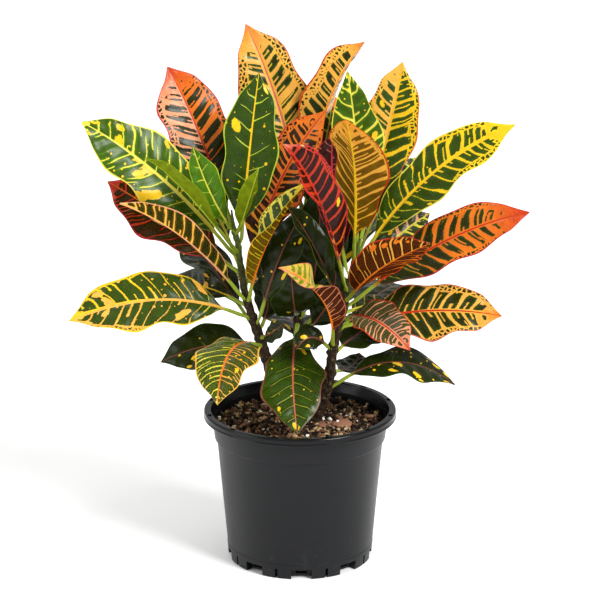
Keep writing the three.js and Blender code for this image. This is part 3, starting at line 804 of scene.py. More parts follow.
def stem_surface(name, settings, rows=360, columns=48):
    """A tube round the stem's line. Its radius is the stem's, plus a swelling at each leaf and
    each old scar (a bell about 4 mm long, larger on one side) and grain: waves round and along
    it, deeper low down."""
    points, along = stem_line(name, rows)
    side = unit(np.cross((0, 1, 0), along))
    other = np.cross(along, side)
    height = points[:, 2]
    angle = circle(columns)
    radius = stem_radius(name, height)[:, None] + 0 * angle
    joints = [leaf.start for leaf in LEAVES.values() if leaf.stem == name]
    rng = np.random.default_rng(sum(map(ord, name)))
    old = smooth(.26, .18, height)[:, None]
    for z in joints + list(np.arange(.128, .19, .0068)):
        bell = np.exp(-((height - z) / .0022) ** 2)[:, None]
        towards = rng.uniform(0, 2 * math.pi)
        near = np.exp(-(1 - np.cos(angle - towards)) / .25)
        radius = radius + settings.swell * bell * (.45 + near)
    grain = sum(np.sin(angle * k + height[:, None] * w + p) for k, w, p in
                zip((5, 7, 11, 3), (160, -240, 420, 900), rng.uniform(0, 6, 4)))
    radius = radius + settings.ridge * grain * (.25 + old) * smooth(.0006, .003, radius)
    return (points[:, None] + side[:, None] * (radius * np.cos(angle))[..., None]
            + other[:, None] * (radius * np.sin(angle))[..., None])


def bark_finish(settings):
    """Brown fissured bark low down that turns green with height, with corky scars and specks."""
    tree = Finish("stem_bark")
    place = tree.place()
    _, _, height = tree.split(place)
    fissures = tree.noise(tree.stretch(place, (1, 1, .3)), 700, 5)
    rings = tree.noise(tree.stretch(place, (.25, .25, 1)), 900, 3)
    patches = tree.noise(place, 160, 3)
    specks = tree.cells(place, 750, flat=False)
    young = tree.step(.22, .29, height + (patches - .5) * .05)
    brown = tree.mix(tree.step(.42, .62, fissures), toned(settings.brown, .35), settings.brown)
    brown = tree.mix(tree.step(.56, .72, rings) * .7, brown, settings.grey)
    green = tree.mix(patches, toned(settings.green, .5), linear("#6f8030"))
    green = tree.mix(tree.step(.6, .75, fissures) * .5, green, settings.brown)
    base = tree.mix(young, brown, green)
    base = tree.mix(tree.step(.22, .1, specks) * .35, base, settings.grey)
    relief = tree.bump(fissures + rings * .6 + specks * .4, .0004, .9)
    return tree.finish(base, .78 - young * .3, .2, relief)


class CROTON_OT_stems(Operator):
    """Builds the three woody stems with their leaf scars"""

    bl_idname = "croton.stems"
    bl_label = "Stems"

    def execute(self, context):
        settings = context.scene.croton_stems
        finish = bark_finish(settings)
        for name in STEMS:
            rings = stem_surface(name, settings)
            build("trunk_" + name, rings, tube_faces(rings), "stem_bark", [finish],
                  ["stem_" + name])
        return {"FINISHED"}


# ---- the leaves ----
# A blade follows a parabola from its stem, at the height `start`, through `middle` to `tip`.
# `faces` is the way its upper side looks and `fold` how far each half rises from the midrib, in
# degrees; `wave` ripples the margins. `twist` is how far the upper side turns from base to tip
# and `roll` how far the last part turns on top of that, in degrees. A row has them in this
# order: name, stem, finish, start, middle, tip, width, faces, fold, wave, twist, roll.
Leaf = namedtuple("Leaf", "stem finish start middle tip width faces fold wave twist roll",
                  defaults=(0, 0))
LEAF_ROWS = """
red_top_left     left  red    .28  -.082 .04 .354   -.112 .06 .415   .058 .3 -1 .4     14 .0022
green_upright    left  dark   .272 -.043 .01 .343   -.034 .022 .417  .047 .1 -1 .2     10 .001
orange_inner     left  orange .238 -.02 .02 .318    .022 .015 .387   .046 -.2 -1 .2    16 .0016
yellow_top_left  left  yellow .262 -.115 .01 .33    -.181 .014 .377  .056 .25 -1 .55   12 .002
new_left         left  young  .268 -.095 -.03 .331  -.124 -.052 .361 .03  .5 .5 .9     24 .0008
new_upright      left  young  .286 -.074 -.008 .322 -.088 -.012 .362 .026 .3 -1 .3     16 .0006
small_inner      left  young  .284 -.044 -.01 .312  -.034 -.018 .345 .02  -.5 .8 .4    34 .0005
red_edge_left    left  red    .25  -.11 .034 .287   -.164 .05 .318   .05  .2 -1 .6     12 .0018
turned_left      left  bronze .228 -.092 -.024 .285 -.146 -.044 .322 .034 .455 .71 .28 42 .0014
yellow_left      left  yellow .212 -.115 -.018 .233 -.192 -.026 .217 .054 0 -.75 .7    10 .0024
dark_left        left  dark   .222 -.09 .03 .232    -.13 .06 .219    .038 0 -.5 .9     10 .0015
low_left         left  dark   .178 -.072 .008 .185  -.119 .014 .168  .044 0 -.7 .8     10 .0014
front_left       left  yellow .188 -.057 -.05 .198  -.067 -.092 .166 .052 -.2 -.6 .9   10 .002
striped_twist    left  yellow .226 -.028 -.028 .283 .006 -.048 .341  .036 -.7 .62 .12  50 .001 80
dark_red_rib     left  dark   .206 -.017 -.012 .267 .003 .004 .303   .034 -.5 -1 .2    14 .0008
small_low_left   left  dark   .194 -.024 -.012 .202 -.013 -.022 .214 .018 0 -.8 .6     10 .0005
dark_low_inner   left  dark   .2   -.027 .015 .224  -.031 .013 .252  .026 .2 -1 .3     10 .0008
orange_tall      back  orange .296 -.016 .058 .374  -.046 .074 .449  .058 .1 -1 .3     12 .0024
orange_right     back  orange .292 .022 .046 .381   .054 .054 .437   .043 .62 -.79 .1  -42 .0018
grey_inner       back  green  .284 .017 .029 .336   .026 .029 .384   .034 0 -1 .2      12 .001
centre_upright   back  dark   .207 -.005 .004 .222  -.008 -.006 .262 .038 0 -1 .3      10 .001
front_centre     back  dark   .196 -.006 -.022 .171 -.002 -.066 .131 .052 0 -.7 .8     8 .0016
centre_left      back  dark   .222 -.022 .026 .244  -.024 .022 .272  .03  0 -1 .4      10 .001
centre_right     back  dark   .232 .03 .033 .264    .042 .03 .296    .034 0 -1 .3      10 .001
dark_centre      back  dark   .2   .014 .019 .256   .016 .014 .325   .052 .1 -1 .2     10 .0012
dark_under       back  dark   .186 .024 .018 .22    .03 .012 .25     .034 0 -1 .3      12 .001
back_low         back  dark   .172 -.008 .09 .184   -.016 .138 .162  .042 0 .4 1       10 .0016
back_low_right   back  dark   .192 .043 .08 .211    .075 .124 .209   .042 .2 .3 1      11 .0014
back_low_left    back  yellow .212 -.04 .088 .222   -.066 .136 .214  .044 -.2 .4 1     10 .0018
back_middle      back  orange .234 .008 .098 .262   .012 .158 .272   .046 0 .3 1       12 .002
back_right       back  yellow .252 .054 .086 .29    .096 .13 .312    .044 -.3 -.2 1    12 .0018
back_left        back  red    .266 -.044 .092 .308  -.08 .14 .334    .046 .3 -.2 1     12 .0018
back_upright     back  orange .282 .014 .088 .336   .022 .126 .388   .044 0 -.8 .8     12 .0016
rear_left        left  dark   .2   -.078 .068 .24   -.098 .106 .25   .04  -.2 .2 1     10 .0016
rear_top_left    left  green  .254 -.086 .068 .308  -.128 .1 .336    .044 .3 -.3 1     12 .0016
rear_right       right dark   .2   .068 .058 .216   .092 .096 .212   .034 .2 .2 1      10 .0016
rear_top_right   right green  .255 .076 .074 .302   .108 .11 .326    .042 -.3 -.3 1    12 .0016
green_top        right green  .27  .048 .008 .341   .039 .018 .419   .044 0 -1 .3      12 .0012
orange_edge_top  right orange .266 .07 .03 .35      .086 .05 .421    .05  -.1 -1 .3    12 .0018
turned_top       right bronze .262 .045 -.04 .34    .036 -.084 .399  .056 .44 .87 -.1  26 .0016
red_front        right red    .238 .016 -.057 .326  -.014 -.072 .377 .046 .62 -.71 .46 42 .0016
yellow_right     right yellow .258 .104 .002 .331   .178 .008 .376   .043 -.2 -1 .5    12 .0018
red_right        right red    .224 .114 -.014 .279  .189 -.018 .308  .046 -.1 -.8 .7   10 .0024
orange_low_right right orange .206 .101 -.008 .22   .169 -.012 .217  .05  0 -.8 .6     10 .002
twisted_right    right bronze .214 .061 -.05 .225   .089 -.082 .209  .042 .25 -.83 .67 30 .0016 20
turned_right     right bronze .23  .064 -.046 .267  .104 -.076 .297  .048 -.3 .86 .2   26 .001
green_mid_right  right green  .243 .08 .026 .273    .111 .046 .291   .03  -.2 -1 .5    12 .001
low_right        right dark   .152 .08 -.004 .174   .132 .004 .151   .042 0 -.35 1     8 .0014
dark_right       right dark   .182 .05 .014 .194    .074 .034 .202   .042 0 -.5 .9     10 .001
small_front      right bronze .19  .019 -.043 .24   -.017 -.077 .277 .039 .55 .71 .17  42 .001 0 -85
dark_inner       right dark   .222 .013 -.02 .276   -.011 -.008 .311 .03  .58 -.71 .54 42 .001
olive_low        right dark   .186 .01 -.018 .2     -.003 -.026 .192 .024 0 -.8 .6     8 .0005
shiny_right      right green  .218 .058 .014 .219   .079 .03 .219    .028 0 -.4 1      8 .0008
small_back_right right dark   .164 .044 .034 .158   .052 .056 .163   .026 0 -.5 .9     8 .0008
maroon_inner     right red    .25  .028 -.012 .322  .027 -.008 .372  .034 0 -1 .2      12 .001
"""
PETIOLE_SHARE = .15  # the stalk's part of a leaf's length
START_GAP = .0003  # from the stem's surface to a leaf's start
ROOT_DEPTH = .0009  # how far a leaf's first rings stand behind its start, in the stem
WIDEST = .83  # powers of the blade's outline: rise from the base, fall to the tip
TAPER = .8
SCALLOP = .065  # size of each of the margin's two waves, as a share of the half width
DRAWN = .42  # how much narrower than its outline a drawn-out tip ends
PHASE_STEP = 2.4  # from one leaf's waves to the next one's
VEIN_STEP = 5.3  # from one leaf's place in the vein pattern to the next one's
FLAT_STEP = 3.7  # the same in the patterns that lie flat on the blade, in centimetres
RIGHT_SHIFT = (31.41, 17)  # from the left half's place in the vein pattern to the right half's
CENTIMETRES = 100  # in a metre


def read_leaf(row):
    """A row's name and its Leaf; its three points and directions have three numbers each."""
    name, stem, finish, *words = row.split()
    values = [float(word) for word in words]
    return name, Leaf(stem, finish, values[0], values[1:4], values[4:7], values[7], values[8:11],
                      *values[11:])


LEAVES = dict(read_leaf(row) for row in LEAF_ROWS.strip().splitlines())


def outline(s):
    """Half the blade's width as a share of its widest: s to a power times (1 - s) to another,
    over its peak."""
    peak = WIDEST / (WIDEST + TAPER)
    s = np.clip(s, 0, 1)
    return s ** WIDEST * (1 - s) ** TAPER / (peak ** WIDEST * (1 - peak) ** TAPER)


def leaf_spine(leaf, t):
    """The parabola's points at t, and the upper and right sides' directions there: the upper
    side faces as given, turned by the twist evenly and by the roll late. Also the length, and
    the first ring's directions: along the stem, to the right in its surface, and out of it."""
    point, along = stem_at(leaf.stem, leaf.start)
    middle, tip = np.array(leaf.middle), np.array(leaf.tip)
    out = middle - point
    out = unit(out - along * (out @ along))
    start = point + out * (stem_radius(leaf.stem, leaf.start) + START_GAP)
    bend = 2 * middle - .5 * start - .5 * tip
    centre = start * (1 - t) ** 2 + bend * 2 * t * (1 - t) + tip * t ** 2
    ahead = unit((bend - start) * (1 - t) + (tip - bend) * t)
    faces = np.array(leaf.faces, float)
    up = unit(faces - ahead * (ahead @ faces)[:, None])
    blade_share = np.clip((t - PETIOLE_SHARE) / (1 - PETIOLE_SHARE), 0, 1)
    turn = np.radians(leaf.twist) * blade_share + np.radians(leaf.roll) * smooth(.55, .88, t)
    up = up * np.cos(turn) + np.cross(ahead, up) * np.sin(turn)
    size = np.linalg.norm(np.diff(centre, axis=0), axis=1).sum()
    return centre, up, np.cross(ahead, up), size, (along, np.cross(out, along), out)


def ring(across, top, under):
    """Section points that run over the top and back underneath."""
    over, back = (np.stack([across, rise], axis=-1) for rise in (top, under))
    return np.concatenate([over, back[:, ::-1]], axis=1)


def stalk_ring(settings, t, v):
    """A stalk's sections at t: circles with a channel along the top, wider towards the stem."""
    angle = math.pi / 2 - v * math.radians(84)
    flare = 1 + .15 * np.exp(-(t / .012)) + .25 * np.exp(-(t / .03) ** 2)
    radius = settings.petiole * (1 - .1 * smooth(0, PETIOLE_SHARE, t)) * flare
    channel = 1 - .22 * np.exp(-(v / .3) ** 2) * smooth(.01, .04, t)
    return ring(radius * np.cos(angle), radius * channel * np.sin(angle), -radius * np.sin(angle))


def side_veins(leaf, settings, size, s, v):
    """How many side veins a blade of a size has below each place, as a real number: they are
    evenly spread over it and lean to the tip, more so near the margin and where it is wide."""
    lean = settings.slant * (leaf.width / .05) * (.1 / size) * outline(s)
    number = settings.veins * (size / .105) ** .8
    return number * (s - lean * (np.abs(v) + .35 * np.abs(v) ** 3))


def leaf_surface(leaf, number, settings, rows=86, half_columns=16):
    """One closed sheet from stalk to tip, as rings that run over the top and back underneath.

    Along the leaf, the stalk's round section turns into the blade's. Across it, a blade point
    lies at v (-1 to 1) times the half width. Two sines along the margin swing it in and out,
    and the tip is drawn out narrower than its outline. The point rises by |v| times the fold,
    sinks by 0.12 v squared and ripples by v squared times a sine along the blade. The blade is
    quilted: a cosine of the side veins' count lifts it between them, and two slow sines bend
    it. It has a groove over the midrib and a keel under it. Returns the points and, for each
    point, its place along and across, in vein counts, and in centimetres."""
    stalk = np.linspace(0, PETIOLE_SHARE * .85, 12)
    blade = PETIOLE_SHARE + (1 - PETIOLE_SHARE) * np.sin(np.linspace(0, 1, rows) * math.pi / 2)
    blade = .4 * blade + .6 * np.linspace(PETIOLE_SHARE, 1, rows)
    t = np.concatenate([stalk, blade])[:, None]
    s = (t - PETIOLE_SHARE) / (1 - PETIOLE_SHARE)
    ends = np.clip(s, 0, 1)
    centre, up, right, arc, root = leaf_spine(leaf, t)
    size = arc * (1 - PETIOLE_SHARE)

    x = np.linspace(-1, 1, 2 * half_columns + 1)
    v = np.sign(x) * (.5 - .5 * np.cos(np.pi * np.abs(x)))
    fold = math.radians(leaf.fold)
    least = settings.petiole * .8 * (1 - smooth(.3, 1, s)) + .00025
    drawn = 1 - DRAWN * smooth(.84, 1, ends)
    reach = np.maximum(leaf.width / 2 * outline(s) * drawn, least)
    phase = number * PHASE_STEP + np.where(v > 0, 1.9, 0)
    swing = np.sin(6 * math.pi * ends + phase) + np.sin(3.6 * math.pi * ends + 2.3 * phase)
    across = reach * v * (1 + v ** 2 * (SCALLOP * swing))
    ripple = np.sin(4.4 * math.pi * ends + phase) * np.sin(math.pi * ends)
    bent = np.sqrt(v ** 2 + .0016) - .04
    rise = reach * (bent * math.sin(fold) - .12 * v ** 2) + 1.3 * leaf.wave * v ** 2 * ripple

    side_vein = side_veins(leaf, settings, size, s, v)
    counted = side_vein + np.where(v > 0, RIGHT_SHIFT[0], 0) + number * VEIN_STEP
    between = .5 - .5 * np.cos(2 * math.pi * counted)
    window = smooth(.02, .25, np.abs(v)) * smooth(1, .7, np.abs(v)) * smooth(0, .12, s)
    flex = np.sin(19 * ends + 5 * v + number) + np.sin(31 * ends - 7 * v + 2 * number)
    rise = rise + settings.quilt * between * window * smooth(1, .8, s) + .00018 * flex * window

    groove = .00045 * np.exp(-(across / .0011) ** 2) * smooth(-.1, .05, s) * (1 - ends)
    keel = (.0013 * (1 - ends) ** 2 + .00035) * np.exp(-(across / .0013) ** 2)
    thick = settings.thickness / 2 * (1 - .5 * v ** 4)
    flat_ring = ring(across * math.cos(fold), rise + thick - groove, rise - thick - keel)

    opened = smooth(PETIOLE_SHARE * .8, .22, t)[..., None]
    section = stalk_ring(settings, t, v) * (1 - opened) + flat_ring * opened
    side, lift = section[..., :1], section[..., 1:]
    points = centre[:, None] + right[:, None] * side + up[:, None] * lift

    # The first rings lie in the stem's surface and turn into the stalk's own section.
    stem_along, stem_right, out = root
    seated = centre[:, None] - out * ROOT_DEPTH + stem_right * side + stem_along * lift
    turned = smooth(0, .06, t)[..., None]
    points = seated * (1 - turned) + points * turned

    def both(values):
        values = values + 0 * (s + v)
        return np.concatenate([values, values[:, ::-1]], axis=1)

    maps = {
        "LeafMap": (both(s), both(v)),
        "VeinMap": (both(side_vein), both(3.2 * np.abs(v) ** 1.7)),
        "FlatMap": (both(across * CENTIMETRES), both(s * size * CENTIMETRES)),
    }
    return points, maps


def map_leaf(piece, maps, columns, number):
    """Writes the leaf's maps as UV maps and gives its underside the second finish. The two
    halves of a blade read other stretches of the vein map, so that neither mirrors the other."""
    mesh = piece.data
    corners = np.empty(len(mesh.loops), np.int32)
    mesh.loops.foreach_get("vertex_index", corners)
    widths = np.empty(len(mesh.polygons), np.int32)
    mesh.polygons.foreach_get("loop_total", widths)
    across = maps["LeafMap"][1].ravel()
    face = np.repeat(np.arange(len(widths)), widths)
    mean = np.bincount(face, across[corners]) / widths
    right = (mean > 0)[face]
    moved = {"LeafMap": (0, 0), "FlatMap": (number * FLAT_STEP, 0),
             "VeinMap": (right * RIGHT_SHIFT[0] + number * VEIN_STEP, right * RIGHT_SHIFT[1])}
    for name, (first, second) in maps.items():
        layer = mesh.uv_layers.new(name=name)
        pair = np.stack([first.ravel()[corners] + moved[name][0],
                         second.ravel()[corners] + moved[name][1]], axis=-1)
        layer.data.foreach_set("uv", pair.astype(np.float32).ravel())
    under = np.zeros(len(widths), np.int32)
    quads = np.flatnonzero(widths == 4)
    under[quads] = (quads % columns) >= columns // 2
    mesh.polygons.foreach_set("material_index", under)


# What a leaf's pattern is made of. Colours are names in the panel's list of leaf colours:
# `cell` in the middle and `light` at the edges of the green cells, `left` and `right` for the
# veins of each half, `low` for veins near the base, `rib`, `margin`, `tip`, `blotch`, `stalk`.
# `thin` and `thick` are the side veins' width near the base and past the middle, as shares of
# the way from one to the next, and `grow` where the one turns into the other. `flush` is where
# the cells start to close up and where they are gone, as shares of the blade, and `bias` how
# much sooner that is on the left half. `lines` is the share of side veins that show and `reach`
# where they fade, from rib to margin. `outer` is where the long cells end and small ones begin,
# and `specks` how much of the margin beyond holds them. `gap` is the way from the rib's middle
# to the cells in centimetres, which grows up the blade, `notches` the share of cells that veins
# cut into, `ragged` how rough their outlines are and `threads` how much of a fine net shows in
# them. `more` multiplies the count of side veins. `blotches` and `dots` are the shares of places
# that hold one, `blotch_size` its size, and `rib_width` the rib's half width in centimetres.
# `cells` stands for `cell` and `light`, and `veins` for `left` and `right`. A leaf has its own
# look over its kind's, and that over the plain one.
BOTH = {"cells": ("cell", "light"), "veins": ("left", "right")}
PLAIN = dict(
    cell="deep_green", light="mid_green", veins="gold", low="lime", rib="gold", margin="lime",
    tip="gold", blotch="gold", stalk="stalk", thin=.03, thick=.22, grow=(.15, .55),
    flush=(.8, 1.08), bias=0, lines=1, reach=(1.2, 1.4), outer=.74, gap=.16, notches=.75,
    ragged=.28, threads=.1, blotches=0, blotch_size=.3, dots=0, rib_width=.1, more=1, specks=.6)
LADDER = dict(thin=.05, thick=.08, flush=(1, 1.4), outer=1.4, gap=.03, notches=.25, ragged=.08,
              threads=.2, more=1.5)
FINISH_LOOKS = {
    "red": dict(veins="scarlet", low="orange", rib="crimson", margin="crimson", tip="scarlet",
                thick=.26, flush=(.66, 1)),
    "orange": dict(
        left="amber", right="orange", low="gold", rib="orange", margin="pink", tip="orange",
        thick=.28, flush=(.64, .98)),
    "yellow": dict(
        cell="mid_green", left="lemon", margin="lemon", thick=.2, flush=(.84, 1.02), blotches=.1,
        dots=.15, rib_width=.13),
    "green": dict(
        veins="lemon", light="fresh_green", rib="lemon", tip="lemon", thick=.1, flush=(.95, 1.2),
        lines=.85, outer=1.3, gap=.04, notches=.3, ragged=.15, blotches=.05, dots=.1,
        rib_width=.12),
    "dark": dict(
        veins="leaf_green", light="deep_green", low="leaf_green", rib="umber", margin="mid_green",
        tip="moss", thin=.02, thick=.03, flush=(1.3, 1.6), lines=.3, reach=(.15, .6), outer=1.6,
        gap=-.2, notches=0, ragged=.04, blotches=.06, dots=.04, rib_width=.06),
    "young": dict(
        cells="fresh_green", veins="lime", rib="lemon", tip="lime", thin=.02, thick=.03,
        flush=(1.3, 1.6), reach=(.4, .9), outer=1.6, gap=-.2, notches=0, ragged=.04,
        rib_width=.06),
    "bronze": dict(
        veins="orange", rib="crimson", margin="crimson", tip="orange", thick=.28,
        flush=(.8, 1.05)),
}
UNDER_LOOKS = {
    "red": dict(LADDER, cells="rust", veins="orange", low="orange", rib="orange", margin="crimson",
                tip="scarlet"),
    "orange": dict(
        LADDER, cells="bronze", veins="amber", low="gold", margin="orange", tip="orange"),
    "yellow": dict(LADDER, cells="moss", veins="lemon", low="lemon", rib="lemon", margin="lemon"),
    "green": dict(LADDER, veins="lime", cell="moss", light="leaf_green", rib="lime", tip="lime"),
    "dark": dict(LADDER, cells="slate", veins="moss", low="moss", rib="umber", margin="moss",
                 tip="moss", thin=.02, thick=.03),
    "young": dict(
        LADDER, cells="moss", veins="lime", rib="lime", margin="moss", tip="moss", thin=.02,
        thick=.03, lines=0, threads=0, rib_width=.07),
    "bronze": dict(
        LADDER, cells="rust", veins="orange", low="orange", rib="orange", margin="scarlet",
        tip="coral"),
}
OWN_LOOKS = {
    # red_top_left's pale coral left half is partly the leaf's own colour and partly painted sheen.
    "red_top_left": dict(
        light="deep_green", left="coral", right="orange", rib="scarlet", thick=.32, flush=(.73, 1),
        bias=.01, gap=.13, notches=.9, more=1.2),
    "orange_tall": dict(
        light="leaf_green", right="amber", rib="pink", thin=.1, thick=.42, flush=(.78, 1.02),
        bias=.02, outer=.66, gap=.26, notches=.95, more=1.25),
    "orange_right": dict(
        right="amber", margin="scarlet", tip="scarlet", thin=.24, thick=.36, flush=(.84, 1.04),
        outer=.6, notches=.95, more=1.4, specks=.35),
    "orange_inner": dict(
        cell="maroon", light="deep_green", left="orange", rib="scarlet", margin="scarlet",
        thin=.16, thick=.3, flush=(.8, 1.03), notches=.9, more=1.2),
    "green_upright": dict(
        cells="mid_green", veins="lime", low="lime", rib="gold", margin="lime", tip="lemon",
        thick=.05, lines=.75, reach=(.4, .9), blotches=.1, blotch_size=.4, dots=.18, rib_width=.1),
    "green_top": dict(
        cell="leaf_green", margin="lemon", thick=.12, lines=.9, notches=.4, more=1.15),
    # orange_edge_top's cells, mid green with leaf-green edges, are lighter than its kind's cells:
    # painted sheen.
    "orange_edge_top": dict(
        cell="mid_green", light="leaf_green", right="gold", rib="amber", margin="orange",
        tip="amber", thick=.27, flush=(.84, 1.04), bias=.04, notches=.9, blotches=.06, more=1.2),
    "yellow_top_left": dict(
        cell="leaf_green", light="fresh_green", right="lemon", rib="lemon", thin=.04, thick=.1,
        flush=(.9, 1.1), lines=.9, reach=(.6, 1), outer=1.2, gap=.03, notches=.3, ragged=.2,
        blotches=.15, blotch_size=.5, dots=.14, rib_width=.16, more=1.15),
    "yellow_left": dict(
        left="amber", rib="amber", margin="gold", blotch="amber", thick=.1, grow=(.3, .65),
        flush=(.87, 1.05), outer=.84, notches=.5, blotches=.16, blotch_size=.48, dots=.14),
    "yellow_right": dict(
        light="leaf_green", left="gold", grow=(.3, .65), flush=(.82, .97), notches=1, dots=.06,
        more=1.1),
    "red_right": dict(
        veins="orange", low="lime", rib="scarlet", thick=.3, grow=(.2, .55), flush=(.67, .97),
        notches=1, more=1.2),
    "orange_low_right": dict(
        right="amber", rib="scarlet", thick=.26, grow=(.25, .6), flush=(.78, 1.04), notches=1,
        more=1.1),
    "red_front": dict(
        cells="maroon", rib="scarlet", tip="coral", thin=.16, thick=.22, flush=(.86, 1.04),
        outer=.84, gap=.13, notches=.2, ragged=.2, blotches=.08, more=1.35),
    "red_edge_left": dict(
        light="maroon", rib="orange", tip="crimson", thin=.04, thick=.12, flush=(.84, 1), lines=.9,
        outer=1, gap=.05, notches=.6, threads=.5, more=1.4),
    "front_left": dict(
        left="amber", right="lemon", rib="orange", margin="amber", tip="lemon", thick=.06,
        flush=(1.1, 1.3), outer=1.3, gap=.05, ragged=.2, threads=.4, blotches=.06, dots=.14,
        more=1.4),
    "twisted_right": dict(
        cells="slate", veins="coral", low="coral", rib="scarlet", margin="scarlet", tip="scarlet",
        thin=.07, thick=.12, outer=1.3, ragged=.15, threads=.4, more=1.5),
    "small_front": dict(
        cell="moss", light="lemon", left="coral", right="amber", low="coral", rib="pink",
        margin="pink", tip="coral", thin=.1, thick=.2, flush=(.86, 1.1), outer=1.3, notches=.3,
        ragged=.2, threads=.4, more=1.8),
    "maroon_inner": dict(
        cells="maroon", veins="umber", blotch="bronze", thick=.05, flush=(1.3, 1.6), lines=.6,
        outer=1.4, gap=0, blotches=.05),
    "front_centre": dict(
        veins="moss", cell="mid_green", rib="pink", margin="umber", thick=.05, lines=.9,
        reach=(.6, 1), gap=0, threads=.3, blotches=.14, blotch_size=.26, dots=.12, rib_width=.08,
        more=1.3),
    "low_right": dict(lines=.5, blotches=.2, blotch_size=.38, dots=.14),
    "dark_left": dict(rib="gold", blotch="amber", blotches=.12),
    "green_mid_right": dict(cells="slate", left="coral", margin="pink", thin=.1, thick=.22),
    "shiny_right": dict(cells="slate", margin="pink"),
    "grey_inner": dict(cell="slate", light="leaf_green"),
}
OWN_UNDER_LOOKS = {
    "turned_top": dict(
        veins="amber", cell="olive", light="bronze", low="gold", rib="gold", tip="orange", thin=.1,
        thick=.24, flush=(.6, 1.25), outer=.86, notches=.9, rib_width=.14, more=1.3, specks=.5),
    "turned_left": dict(
        veins="amber", cell="deep_green", light="olive", low="lemon", rib="coral", margin="coral",
        thin=.08, thick=.13, flush=(.85, 1.1), gap=.1, notches=.5, more=1.35),
    "striped_twist": dict(
        veins="gold", cell="olive", light="leaf_green", low="gold", rib="orange", margin="orange",
        thick=.12, more=1.9),
    "turned_right": dict(
        light="maroon", right="amber", blotch="orange", thick=.12, notches=.5, blotches=.12,
        more=1.3),
    "small_front": dict(veins="coral", margin="pink", tip="lemon", flush=(.74, .9), more=1.7),
}


def merged(*looks):
    """One look from several, later ones over earlier ones."""
    look = {}
    for layer in looks:
        for key, value in layer.items():
            look.update(dict.fromkeys(BOTH.get(key, (key,)), value))
    return look


def cell_field(tree, look, at):
    """Over 0 inside a blade's green cells and under 0 between them. Side veins run from the rib
    to the margin, one at each whole number of the vein map. Between two of them lies a long
    cell with rounded ends, held away from the rib, cut by notches and worn by noise, and beyond
    it small cells along the margin. Veins widen up the blade until the cells close up."""
    wander = tree.noise(tree.stretch(at.vein_map, (1, .4, 1)), .9, 1)
    counted = tree.split(at.vein_map)[0] * look.more + (wander - .5) * .7
    line_size, line_shown, line_end = tree.chances(counted.math("ROUND"))
    lane = counted.math("FLOOR")
    cell_end, notch_place, notch_top = tree.chances(lane)
    notch_shown, bite_place, bite_top = tree.chances(lane + .37)
    in_lane = counted.math("FRACT") - .5
    grown = tree.step(*look.grow, at.along)
    lean = (.5 - at.right) * 2 * look.bias
    flushed = tree.step(*look.flush, at.along + (at.patchy - .5) * .2 + lean)

    width = (grown * (look.thick - look.thin) + look.thin) * (line_size * .7 + .65)
    widened = tree.step(.3, .1, at.from_rib) * .5 + tree.step(.4, .8, at.edge) * .5 + 1
    width = width * widened + lean
    shown = tree.below(look.lines, line_shown, .01)
    shown = shown * tree.step(look.reach[1], look.reach[0], at.edge + (line_end - .5) * .3)
    from_vein = abs(in_lane) * -2 + 1 - (shown * (width + .12) - .12)
    end = (cell_end - .5) * .16 + look.outer + (1 - grown) * .5
    notch = tree.step(notch_top * .6 + .15, notch_top * .6 + .05, at.edge)
    notch = notch * tree.below(look.notches, notch_shown, .01)
    from_notch = abs(in_lane - (notch_place - .5) * .3) * 2 - .1 + (1 - notch) * 1.5
    bite = tree.step(.75 - bite_top * .4, .83 - bite_top * .4, at.edge) * grown
    bite = bite * tree.step(.99 - look.notches, 1.01 - look.notches, notch_shown)
    from_bite = abs(in_lane - (bite_place - .5) * .4) * 2 - .09 + (1 - bite) * 1.5
    gap = (grown * .6 + .4) * look.gap
    field = from_vein.near((at.from_rib - gap) * 6, .12).near((end - at.edge) * 3.2, .12)
    field = field.near(from_notch, .06).near(from_bite, .06)
    small = tree.cells(at.flat, 2.7, "DISTANCE_TO_EDGE") * 3 - 1 + look.specks
    small = small + (at.grain - .55) * 1.6
    field = field.math("MAXIMUM", small.math("MINIMUM", (at.edge - end - .05) * 8))
    field = field + (at.rough - .5) * (flushed * .6 + look.ragged) - flushed * 1.15
    return field


def leaf_colours(tree, look, at, field, cell):
    """The veins' colours, from rib to tip, and the cells', with a lighter edge, darker clouds
    and a fine net."""
    veins = tree.mix(at.right, look.left, look.right)
    veins = tree.mix(tree.step(.3, .05, at.along) * .8, veins, look.low)
    tipped = tree.step(look.flush[0], look.flush[1] + .02, at.along)
    veins = tree.mix(tipped * tree.step(.2, .55, at.rough * .5 + at.grain * .5), veins, look.tip)
    veins = tree.mix(tree.step(.4, .8, at.patchy * .5 + at.grain * .5) * .35, veins, look.rib)
    core = tree.step(.05, .4, field + (at.grain - .5) * .5)
    green = tree.mix(core, look.light, look.cell)
    shade = tree.step(.35, .7, tree.noise(at.flat, 1.3, 3)) * .45
    green = tree.mix(shade, green, toned(look.cell, .45))
    if look.threads:
        net = tree.cells(at.flat, 4.4, "DISTANCE_TO_EDGE")
        green = tree.mix(tree.step(.09, .02, net) * look.threads * .5, green, veins)
    return tree.mix(cell, veins, green)


def spots(tree, vector, scale, randomness, portion, size_of):
    """Round spots at a portion of the places that a scale gives; size_of makes a random number
    a radius."""
    near = tree.cells(vector, scale, "F1", randomness)
    pick, size, _ = tree.split(tree.cells(vector, scale, "F1", randomness, "Color"))
    picked = tree.step(.995 - portion, 1 - portion, pick)
    return tree.below(size_of(size), near, .03) * picked


